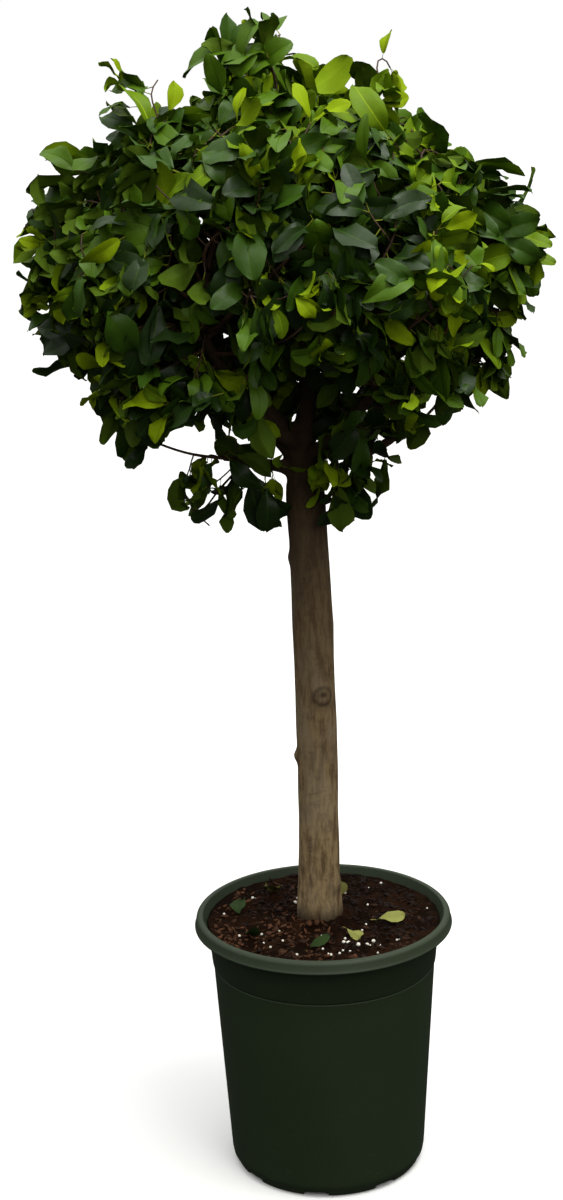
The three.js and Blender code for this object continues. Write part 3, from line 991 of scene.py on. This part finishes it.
class TOPIARY_OT_wood(bpy.types.Operator):
    """Fuse the stem and the boughs into one piece and give it the bark's relief"""

    bl_idname = "topiary.wood"
    bl_label = "Stem and Boughs"

    def execute(self, context):
        bark = context.scene.topiary_bark
        stem, boughs = wood_lines()
        foot, foot_radius = stem[0]
        buried = (foot - Vector((0, 0, 12 * MM)), foot_radius)
        mesh = tube_mesh([[buried, *stem], *boughs.values()], 20)
        shape = bmesh.new()
        shape.from_mesh(applied(mesh, "REMESH", mode="VOXEL", voxel_size=bark.voxel))
        fork = stem[-1][0].z
        smoothed(shape, shape.verts, 5)
        smoothed(shape, [vert for vert in shape.verts if vert.co.z > fork - 70 * MM], 10)
        shape.normal_update()
        knots = knots_of(stem, bark)
        knot = shape.verts.layers.float.new("knot")
        lifts = []
        for vert in shape.verts:
            slim = 1.0 if vert.co.z < fork - 60 * MM else 0.45  # the relief is finer on the boughs
            lift, vert[knot] = knot_relief(vert.co, knots, bark)
            lifts.append((lift + slim * bark_relief(vert.co, bark)) * vert.normal)
        for vert, lift in zip(shape.verts, lifts):
            vert.co += lift
        mesh = mesh_of(shape, "stem_and_boughs")
        mesh.shade_smooth()
        finished("stem_and_boughs", mesh, "bark", [bark_finish(bark, foot.z, fork)], "stem", *BOUGHS)
        return {"FINISHED"}


# ---------------------------------------------------------------------------------------------
# Twigs


class Growth:
    """A branching set of points: where each is, which it grew from, and what grew from it.

    tips counts the twig tips past each point, to_tip is the length to the furthest of them, and leader
    is the point that carries its twig on, or -1 at a tip.
    """

    def __init__(self, points, parents, thick):
        self.points = np.array(points)
        self.parents = np.array(parents)
        self.thick = thick
        size = len(points)
        self.tips = np.zeros(size)
        self.to_tip = np.zeros(size)
        self.leader = np.full(size, -1)
        children = np.bincount(self.parents[self.parents >= 0], minlength=size)
        self.tips[children == 0] = 1
        for index in range(size - 1, -1, -1):
            parent = self.parents[index]
            if parent < 0:
                continue
            self.tips[parent] += self.tips[index]
            stretch = self.to_tip[index] + np.linalg.norm(self.points[index] - self.points[parent])
            self.to_tip[parent] = max(self.to_tip[parent], stretch)
            best = self.leader[parent]
            if best < 0 or self.tips[index] > self.tips[best]:
                self.leader[parent] = index

    def relaxed(self, rounds):
        """Eases each point towards the middle of its neighbours along its twig."""
        for _ in range(rounds):
            inner = np.flatnonzero((self.parents >= 0) & (self.leader >= 0))
            middle = (self.points[self.parents[inner]] + self.points[self.leader[inner]]) / 2
            self.points[inner] = 0.5 * self.points[inner] + 0.5 * middle
        return self

    def radii(self, tip):
        """Radii by the pipe rule, and a bough's tip that runs on thins out step by step."""
        pipe_power = 2.8
        aged = 0.1  # metres behind the tip where a twig has thickened by all of its extra share
        thinning = 0.84
        thickened = 1 + 0.25 * np.minimum(self.to_tip / aged, 1)
        radii = tip * np.maximum(self.tips, 1) ** (1 / pipe_power) * thickened
        for root, radius in self.thick.items():
            index = root
            while index >= 0 and radius > radii[index]:
                radii[index] = radius
                radius *= thinning
                index = self.leader[index]
        return radii

    def runs(self):
        """The points of each twig from where it leaves its parent to its tip."""
        lines = []
        for index in range(len(self.points)):
            parent = self.parents[index]
            if parent < 0 or self.leader[parent] == index and self.parents[parent] >= 0:
                continue
            line = [parent, index]
            while self.leader[line[-1]] >= 0:
                line.append(self.leader[line[-1]])
            lines.append(line)
        return lines


def random_way(dice):
    """A direction, any way round."""
    return Vector([dice.gauss(0, 1) for _ in range(3)]).normalized()


def twig_targets(foliage, crown, limbs, dice):
    """Points that twigs grow to: close together near the outside, sparse in the core.

    Each mass has a target towards its far end, so that the leaves there reach the crown's true outline,
    and each cuff has a few round its bough.
    """
    targets = []
    for name in MASSES:
        low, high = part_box(name)
        points = [vert.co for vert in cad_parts[name].data.vertices]
        tip = max(points, key=lambda point: (point - foliage.centre).length)
        inwards = (low + high) / 2 - tip
        targets.append(tuple(tip + crown.shoot * inwards.normalized()))

    def far_from_others(point, gap):
        return np.linalg.norm(np.array(targets) - np.array(point), axis=1).min() > gap

    cuff_targets = 4
    for limb in limbs:
        for _ in range(cuff_targets):
            point = limb + dice.uniform(0.45, 0.75) * crown.cuff * random_way(dice)
            if far_from_others(point, 0.8 * crown.spacing):
                targets.append(tuple(point))
    core_start = 0.78
    core_fade = 0.25
    for _ in range(crown.tries):
        point = Vector([dice.uniform(foliage.low[axis], foliage.high[axis]) for axis in range(3)])
        if foliage.depth(point) < crown.skin and not foliage.in_core(point):
            continue
        core = clamped((core_start - foliage.level(point)) / core_fade)
        if far_from_others(point, crown.spacing + (crown.core_spacing - crown.spacing) * core):
            targets.append(tuple(point))
    return np.array(targets)


def grown_to(targets, roots, thick, crown, dice):
    """Grows twigs from the roots: each point steps towards the targets that it is nearest to.

    Where a root is the tip of a bough, thick holds the bough's radius there.
    """
    most_steps = 90
    momentum = 0.35
    wander = 0.16
    least_gain = 0.1 * crown.step
    points = [np.array(root) for root in roots]
    parents = [-1] * len(points)
    headings = [np.zeros(3) for _ in points]
    nearest = np.zeros(len(targets), int)
    distance = np.full(len(targets), np.inf)
    open_targets = np.ones(len(targets), bool)
    start = 0
    for _ in range(most_steps):
        cloud = np.array(points[start:])
        gaps = np.linalg.norm(targets[:, None] - cloud[None], axis=2)
        closest = gaps.argmin(axis=1)
        best = gaps[np.arange(len(targets)), closest]
        better = best < distance
        distance[better] = best[better]
        nearest[better] = closest[better] + start
        open_targets &= distance > crown.arrive
        start = len(points)
        for index in np.unique(nearest[open_targets]):
            drawn = open_targets & (nearest == index)
            pull = targets[drawn] - points[index]
            way = (pull / np.linalg.norm(pull, axis=1)[:, None]).mean(axis=0)
            way += momentum * headings[index] + np.array([dice.gauss(0, wander) for _ in range(3)])
            way /= np.linalg.norm(way)
            point = points[index] + crown.step * way
            gain = distance[drawn] - np.linalg.norm(targets[drawn] - point, axis=1)
            stuck = gain < least_gain
            open_targets[np.flatnonzero(drawn)[stuck]] &= not stuck.all()
            if stuck.all():
                continue
            points.append(point)
            parents.append(index)
            headings.append(way)
        if len(points) == start:
            break
    return Growth(points, parents, thick)


@functools.lru_cache(maxsize=None)
def crown_growth():
    """The room for foliage and the twigs that have grown into it from the boughs and the stem's top."""
    crown = bpy.context.scene.topiary_crown
    dice = random.Random(crown.seed)
    stem, boughs = wood_lines()
    limbs = [centre for line in boughs.values() for centre, _ in line[len(line) // 2 :]]
    foliage = Foliage(crown, limbs)
    fork = stem[-1][0].z
    budding = 110 * MM  # the length below the stem's top where it sends out twigs
    bare_rings = 4  # at the foot of each bough
    roots = [tuple(centre) for centre, _ in stem if centre.z > fork - budding]
    thick = {}
    for line in boughs.values():
        for (first, _), (second, _) in zip(line[bare_rings:], line[bare_rings + 1 :]):
            roots += [tuple(first), tuple(first.lerp(second, 0.5))]
        thick[len(roots)] = 0.94 * line[-1][1]
        roots.append(tuple(line[-1][0]))
    growth = grown_to(twig_targets(foliage, crown, limbs, dice), roots, thick, crown, dice)
    return foliage, growth.relaxed(3)


class TOPIARY_OT_twigs(bpy.types.Operator):
    """Grow the twigs from the boughs through the room for foliage"""

    bl_idname = "topiary.twigs"
    bl_label = "Twigs"

    def execute(self, context):
        crown = context.scene.topiary_crown
        _, growth = crown_growth()
        radii = growth.radii(crown.tip_radius)
        lines = []
        for run in growth.runs():
            line = [(Vector(growth.points[index]), radii[index]) for index in run]
            line[0] = (line[0][0], min(line[0][1], 1.2 * line[1][1]))
            lines.append(line)
        mesh = smooth_shaded(tube_mesh(lines, 6), math.radians(70))
        tint = context.scene.topiary_leaves.twig
        finished("twigs", mesh, "young_bark", [twig_finish(tint)])
        return {"FINISHED"}


# ---------------------------------------------------------------------------------------------
# Leaves

BLADE, RIB, UNDER, STALK = range(4)
LEAF_SHAPES = 18
LEAF_ROWS = (0, 0.08, 0.22, 0.4, 0.6, 0.79, 0.93, 1)
LEAF_COLUMNS = 5
STALK_SHARE = 0.19  # of the blade's length

FINISHES = ("deep", "dark", "mid", "fresh", "lime", "under_dull", "under_fresh", "rib", "rib_fresh", "stalk")
# Each kind of leaf has the finishes of its blade, midrib, underside and stalk.
KINDS = {
    "deep": ("deep", "dark", "under_dull", "stalk"),
    "dark": ("dark", "rib", "under_dull", "stalk"),
    "mid": ("mid", "rib", "under_dull", "stalk"),
    "fresh": ("fresh", "rib_fresh", "under_fresh", "stalk"),
    "lime": ("lime", "rib_fresh", "under_fresh", "stalk"),
}
# The roughness and the specular level of each blade's finish, and of all the others.
GLOSS = {
    "deep": (0.36, 0.2),
    "dark": (0.33, 0.16),
    "mid": (0.36, 0.12),
    "fresh": (0.4, 0.08),
    "lime": (0.45, 0.03),
}
MATT = (0.5, 0.04)


def leaf_pattern(dice, thickness):
    """One leaf with a blade one unit long: obovate, arched and folded, closed, on its stalk."""
    half_width = dice.uniform(0.22, 0.33)
    fullest = dice.uniform(0.95, 1.4)
    blunt = dice.uniform(0.55, 0.8)
    arch = math.radians(dice.triangular(-30, 150, 50))
    start = math.radians(dice.uniform(-30, 12))
    fold = dice.triangular(0.15, 1.5, 0.5)
    twist = math.radians(dice.uniform(-80, 80))
    sway = dice.uniform(-0.14, 0.14)
    wave = dice.uniform(0.02, 0.075)
    phase = dice.uniform(0, math.tau)
    spine = [Vector((0, STALK_SHARE, 0))]
    for low, high in zip(LEAF_ROWS, LEAF_ROWS[1:]):
        slope = start + arch * (low + high) / 2
        spine.append(spine[-1] + (high - low) * Vector((0, math.cos(slope), -math.sin(slope))))

    def place(column, row, side):
        """Where a point of the grid lies: side is 1 on the leaf's top and -1 on its underside."""
        along = LEAF_ROWS[row]
        swell = math.sin(math.pi * (0.03 + 0.955 * along) ** fullest) ** blunt
        width = half_width * swell * (1 - 0.3 * (1 - along) ** 3)
        rib = min(0.013 * (1.1 - 0.8 * along), 0.3 * width)
        x = (-width, -0.54 * width, -rib, rib, 0.54 * width, width)[column]
        out = abs(x) / width
        # folded along the midrib, wavy at the edge and, between its ends, thickest at the midrib
        z = fold * abs(x) * (1 - 0.35 * along) - 0.5 * fold * abs(x) * out
        z += wave * out**2 * math.sin(math.tau * 1.6 * along + phase + 2.1 * (x > 0))
        if 0 < row < len(LEAF_ROWS) - 1:
            z += side * thickness / 2 * (1 - out**2)
        turn = twist * along
        offset = Vector((x * math.cos(turn) - z * math.sin(turn), 0, x * math.sin(turn) + z * math.cos(turn)))
        bend = Matrix.Rotation(-(start + arch * along), 3, "X")
        return spine[row] + bend @ offset + Vector((sway * math.sin(math.pi * along), 0, 0))

    shape = bmesh.new()
    rows = len(LEAF_ROWS) - 1
    bmesh.ops.create_grid(shape, x_segments=LEAF_COLUMNS, y_segments=rows, size=1)
    if len(shape.faces) != LEAF_COLUMNS * rows:
        raise RuntimeError(f"a leaf's grid has {len(shape.faces)} faces")
    for face in shape.faces:
        face.material_index = RIB if abs(face.calc_center_median().x) < 0.1 else BLADE
    copy = bmesh.ops.duplicate(shape, geom=shape.verts[:] + shape.edges[:] + shape.faces[:])["geom"]
    under_faces = [item for item in copy if isinstance(item, bmesh.types.BMFace)]
    under_verts = {item for item in copy if isinstance(item, bmesh.types.BMVert)}
    for face in under_faces:
        face.material_index = UNDER
    bmesh.ops.reverse_faces(shape, faces=under_faces)
    for vert in shape.verts:
        column = round((vert.co.x + 1) / 2 * LEAF_COLUMNS)
        row = round((vert.co.y + 1) / 2 * rows)
        vert.co = place(column, row, -1 if vert in under_verts else 1)
    bmesh.ops.remove_doubles(shape, verts=shape.verts, dist=1e-5)
    before = set(shape.faces)
    lie = Matrix.Translation((0, STALK_SHARE / 2, 0)) @ Matrix.Rotation(math.radians(-90), 4, "X")
    bmesh.ops.create_cone(
        shape, cap_ends=True, segments=3, radius1=0.014, radius2=0.011, depth=STALK_SHARE + 0.03, matrix=lie
    )
    for face in set(shape.faces) - before:
        face.material_index = STALK
    return pattern_of(shape)


def leaf_place(base, along, faces, size):
    """A leaf's matrix: its stalk starts at the base, it points along, and its top faces a way."""
    y = along.normalized()
    z = (faces - faces.dot(y) * y).normalized()
    turn = Matrix((y.cross(z), y, z)).transposed().to_4x4()
    return Matrix.Translation(base) @ turn @ Matrix.Scale(size, 4)


@functools.lru_cache(maxsize=None)
def leaf_patterns():
    """The leaf shapes that every leaf is a copy of."""
    crown = bpy.context.scene.topiary_crown
    dice = random.Random(crown.seed + 1)
    return [leaf_pattern(dice, crown.thickness / crown.leaf_length) for _ in range(LEAF_SHAPES)]


@functools.lru_cache(maxsize=None)
def leaf_materials():
    """The finishes of the leaves, in their fixed order."""
    tints = bpy.context.scene.topiary_leaves
    return [leaf_finish(f"leaf_{name}", getattr(tints, name), *GLOSS.get(name, MATT)) for name in FINISHES]


def painted(pattern, kind):
    """A leaf pattern's points and triangles, and its triangles' materials for a kind of leaf."""
    points, triangles, parts = pattern
    finishes = np.array([FINISHES.index(name) for name in KINDS[kind]])
    return (points, triangles), finishes[parts]


def spray_kind(level, height, side, dice):
    """The colour of a spray, as painted light and shade: darker finishes inside and low down, lighter ones
    outside, up and to the right, where the light falls.
    """
    # painted light: how lit a spray is picks its finish
    light = 0.48 * min(level, 1.05) + 0.56 * height + 0.2 * side + 0.15 * side**2 + dice.gauss(0, 0.18)
    for kind, most_light in (("deep", 0.56), ("dark", 0.78), ("mid", 0.98)):
        if light < most_light:
            return kind
    return "fresh"


def within(foliage, place, overhang):
    """Whether a leaf stays in the room for foliage, but for the overhang of its tip."""
    middle = place @ Vector((0, STALK_SHARE + 0.5, 0))
    tip = place @ Vector((0, STALK_SHARE + 0.95, -0.1))
    if foliage.in_core(middle):
        return True
    if not foliage.in_reach(tip):
        return False
    return foliage.depth(middle) > min(0, 5 * MM - overhang) and foliage.depth(tip) > -overhang


def sprays(foliage, growth, crown, dice):
    """For each point of the twigs, the kind of its leaves and whether its twig ends in young ones."""
    young_level = 0.8
    low = foliage.centre.z - foliage.half.z
    dealt = {}
    for run in growth.runs():
        tip = Vector(growth.points[run[-1]])
        height = (tip.z - low) / (2 * foliage.half.z)
        side = (tip.x - foliage.centre.x) / foliage.half.x
        kind = spray_kind(foliage.level(tip), height, side, dice)
        young = dice.random() < crown.lime_share and foliage.level(tip) > young_level
        for index in run[1:]:
            dealt.setdefault(index, (kind, young))
    return sorted(dealt.items())


def leaf_tone(kind, young, at_tip, near_tip, turn, dice):
    """One leaf's kind and its share of the full size.

    Young twigs end in small, pale leaves, and a few other leaves are darker or paler than their spray.
    """
    odd_share = 0.2
    if young and at_tip:
        return "lime" if turn else "fresh", dice.uniform(0.55, 0.85)
    if young and near_tip:
        return dice.choice(("lime", "fresh", "fresh")), dice.uniform(0.7, 0.95)
    if dice.random() < odd_share:
        return dice.choice(("deep", "dark", "mid")), 1
    return kind, 1


def crown_leaves(foliage, growth, crown, dice):
    """Leaves along the last stretch of each twig: (points and triangles, matrix, materials)."""
    tip_leaves = 3
    attempts = 9
    thickest = 4 * MM  # thicker twigs bear no leaves
    young_stretch = 2.5 * crown.step
    patterns = leaf_patterns()
    radii = growth.radii(crown.tip_radius)
    placed = []
    for index, (kind, young) in sprays(foliage, growth, crown, dice):
        if growth.to_tip[index] > crown.leafy or radii[index] > thickest:
            continue
        point = Vector(growth.points[index])
        heading = (point - Vector(growth.points[growth.parents[index]])).normalized()
        at_tip = growth.leader[index] < 0
        if not at_tip and dice.random() < crown.bare_share:
            continue
        out = foliage.outwards(point)
        for turn in range(tip_leaves if at_tip else 1):
            size = crown.leaf_length * dice.triangular(0.68, 1.34, 0.95)
            near_tip = growth.to_tip[index] < young_stretch
            tone, part_grown = leaf_tone(kind, young, at_tip, near_tip, turn, dice)
            size *= part_grown
            stray = dice.choice((0.6, 0.9, 1.6))
            bold = at_tip and dice.random() < crown.bold_share
            overhang = crown.stand_out if bold else crown.overhang
            for attempt in range(attempts):
                side = Matrix.Rotation(GOLDEN_TURN * (index + turn) + 0.9 * attempt, 3, heading)
                across = side @ heading.cross(UP + 0.3 * random_way(dice)).normalized()
                if across.dot(out) < -0.2:
                    across = -across
                if at_tip and turn == 0:
                    along = heading + 0.3 * across
                else:
                    along = (0.9 if at_tip else 0.45) * heading + 0.75 * across + 0.25 * out
                    along.z -= dice.uniform(-0.3, 0.4) if tone == "lime" else dice.uniform(0.0, 1.1)
                faces = 0.55 * out + 0.4 * UP + stray * random_way(dice)
                place = leaf_place(point, along, faces, size)
                if within(foliage, place, overhang):
                    shape, paints = painted(dice.choice(patterns), tone)
                    placed.append((shape, place, paints))
                    break
    return placed


class TOPIARY_OT_leaves(bpy.types.Operator):
    """Set the leaves along the twigs, coloured by spray"""

    bl_idname = "topiary.leaves"
    bl_label = "Leaves"

    def execute(self, context):
        crown = context.scene.topiary_crown
        foliage, growth = crown_growth()
        leaves = crown_leaves(foliage, growth, crown, random.Random(crown.seed + 2))
        layers = ("leaves_low", "leaves_middle", "leaves_top")
        heights = sorted(place.translation.z for _, place, _ in leaves)
        splits = [heights[len(heights) * part // len(layers)] for part in range(1, len(layers))]
        middles = {name: sum(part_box(name), Vector()).z / 2 for name in MASSES}
        for name, low, high in zip(layers, [-math.inf, *splits], [*splits, math.inf]):
            own = [leaf for leaf in leaves if low <= leaf[1].translation.z < high]
            masses = [mass for mass in MASSES if low <= middles[mass] < high]
            mesh = smooth_shaded(joined(own, name), math.radians(75))
            finished(name, mesh, "foliage", leaf_materials(), *masses)
        return {"FINISHED"}


class TOPIARY_OT_fallen_leaves(bpy.types.Operator):
    """Lay a few dropped leaves on the potting mix"""

    bl_idname = "topiary.fallen_leaves"
    bl_label = "Fallen Leaves"

    def execute(self, context):
        mix = context.scene.topiary_mix
        surface, radius, _ = mix_surface(mix)
        flattest = sorted(leaf_patterns(), key=lambda pattern: np.ptp(pattern[0][:, 2]))[:4]
        dice = random.Random(mix.seed + 1)
        tints = (mix.fallen_green, mix.fallen_pale, mix.fallen_olive)
        first_turn = math.radians(160)
        centred = Matrix.Translation((0, -0.6, 0))  # a leaf turns about its middle
        leaves = []
        for index in range(mix.fallen):
            turn = first_turn + GOLDEN_TURN * index
            out = dice.uniform(0.5, 0.82) * radius
            size = context.scene.topiary_crown.leaf_length * dice.uniform(0.55, 0.85)
            upside_down = math.pi * (index % 2)
            x, y = out * math.cos(turn), out * math.sin(turn)
            lie = resting(surface, x, y, dice.uniform(0, math.tau), upside_down, 0)
            points, triangles, parts = dice.choice(flattest)
            place = lie @ Matrix.Scale(size, 4) @ centred
            corners = [place @ Vector(point) for point in points]
            sunk = min(corner.z - surface(corner.x, corner.y) for corner in corners)
            paints = np.full_like(parts, index % len(tints))
            leaves.append(((points, triangles), Matrix.Translation((0, 0, -sunk)) @ place, paints))
        mesh = smooth_shaded(joined(leaves, "fallen_leaves"), math.radians(75))
        finishes = [leaf_finish(f"fallen_leaf_{index}", tint, *MATT) for index, tint in enumerate(tints)]
        finished("fallen_leaves", mesh, "foliage", finishes)
        return {"FINISHED"}


# ---------------------------------------------------------------------------------------------
# Stage


def soft_light(name, place, aim, size, power, tint):
    """A square softbox at a place, aimed at a point."""
    light = bpy.data.lights.new(name, "AREA")
    light.shape = "SQUARE"
    light.size = size
    light.energy = power
    light.color = tint
    lamp = bpy.data.objects.new(name, light)
    bpy.context.scene.collection.objects.link(lamp)
    lamp.location = place
    lamp.rotation_euler = (Vector(aim) - Vector(place)).to_track_quat("-Z", "Y").to_euler()


def overcast_world(zenith, horizon):
    """An even overcast sky, brightest overhead, that is seen as plain white."""
    world = bpy.data.worlds.new("studio")
    world.use_nodes = True
    tree = world.node_tree
    way = tree.nodes.new("ShaderNodeTexCoord").outputs["Generated"]
    split = tree.nodes.new("ShaderNodeSeparateXYZ")
    tree.links.new(way, split.inputs[0])
    sky = tree.nodes.new("ShaderNodeMapRange")
    sky.interpolation_type = "SMOOTHSTEP"
    sky.inputs["To Min"].default_value = horizon
    sky.inputs["To Max"].default_value = zenith
    tree.links.new(split.outputs["Z"], sky.inputs["Value"])
    seen = tree.nodes.new("ShaderNodeMix")
    seen.inputs["B"].default_value = 1
    tree.links.new(tree.nodes.new("ShaderNodeLightPath").outputs["Is Camera Ray"], seen.inputs["Factor"])
    tree.links.new(sky.outputs[0], seen.inputs["A"])
    background = tree.nodes["Background"]
    background.inputs["Color"].default_value = (1, 1, 1, 1)
    tree.links.new(seen.outputs[0], background.inputs["Strength"])
    bpy.context.scene.world = world


class TOPIARY_OT_stage(bpy.types.Operator):
    """Set up the pale floor, the soft studio light and the camera"""

    bl_idname = "topiary.stage"
    bl_label = "Studio Stage"

    def execute(self, context):
        stage = context.scene.topiary_stage
        shape = bmesh.new()
        bmesh.ops.create_circle(shape, cap_ends=True, segments=96, radius=30)
        mesh = mesh_of(shape, "floor")
        floor = bpy.data.objects.new("studio_floor", mesh)
        context.scene.collection.objects.link(floor)
        finish = Finish("studio_floor", Roughness=0.9, Specular_IOR_Level=0.0)
        shade = finish.cloud(0.6, 1)
        finish.set(Base_Color=finish.blend(shade, stage.floor, tinted(stage.floor, 0.985)))
        mesh.materials.append(finish.material)
        floor.visible_diffuse = False
        floor.visible_glossy = False

        overcast_world(zenith=1.75, horizon=0.05)
        soft_light("overhead", place=(0.7, -0.7, 3.4), aim=(0, 0, 1), size=1.6, power=66, tint=(1, 1, 0.97))
        soft_light("front", place=(1.3, -3.4, 2.1), aim=(0, 0, 0.7), size=2.2, power=24, tint=(1, 0.99, 0.95))

        data = bpy.data.cameras.new("camera")
        data.lens = stage.lens
        data.sensor_width = 36
        camera = bpy.data.objects.new("camera", data)
        context.scene.collection.objects.link(camera)
        look = Matrix.Rotation(-stage.yaw, 4, "Z") @ Matrix.Rotation(math.pi / 2 - stage.pitch, 4, "X")
        place = Matrix.Translation((0, -stage.distance, stage.height))
        camera.matrix_world = place @ look @ Matrix.Rotation(stage.roll, 4, "Z")
        context.scene.camera = camera
        context.scene.view_settings.view_transform = "Standard"
        return {"FINISHED"}


# ---------------------------------------------------------------------------------------------
# Add-on

OPERATORS = (
    TOPIARY_OT_stage,
    TOPIARY_OT_pot,
    TOPIARY_OT_potting_mix,
    TOPIARY_OT_litter,
    TOPIARY_OT_wood,
    TOPIARY_OT_twigs,
    TOPIARY_OT_leaves,
    TOPIARY_OT_fallen_leaves,
)


class TOPIARY_PT_panel(bpy.types.Panel):
    """Lists the pieces of the topiary and their settings"""

    bl_idname = "TOPIARY_PT_panel"
    bl_label = "Fig Topiary"
    bl_space_type = "VIEW_3D"
    bl_region_type = "UI"
    bl_category = "Topiary"

    def draw(self, context):
        for operator in OPERATORS:
            self.layout.operator(operator.bl_idname)
        for name, group in SETTINGS.items():
            box = self.layout.box()
            for field in group.__annotations__:
                box.prop(getattr(context.scene, name), field)


CLASSES = (*SETTINGS.values(), *OPERATORS, TOPIARY_PT_panel)


def register():
    for item in CLASSES:
        bpy.utils.register_class(item)
    for name, group in SETTINGS.items():
        setattr(bpy.types.Scene, name, bpy.props.PointerProperty(type=group))


def unregister():
    for name in SETTINGS:
        delattr(bpy.types.Scene, name)
    for item in reversed(CLASSES):
        bpy.utils.unregister_class(item)


def main():
    register()
    for operator in OPERATORS:
        group, name = operator.bl_idname.split(".")
        getattr(getattr(bpy.ops, group), name)()


if __name__ == "__main__":
    main()
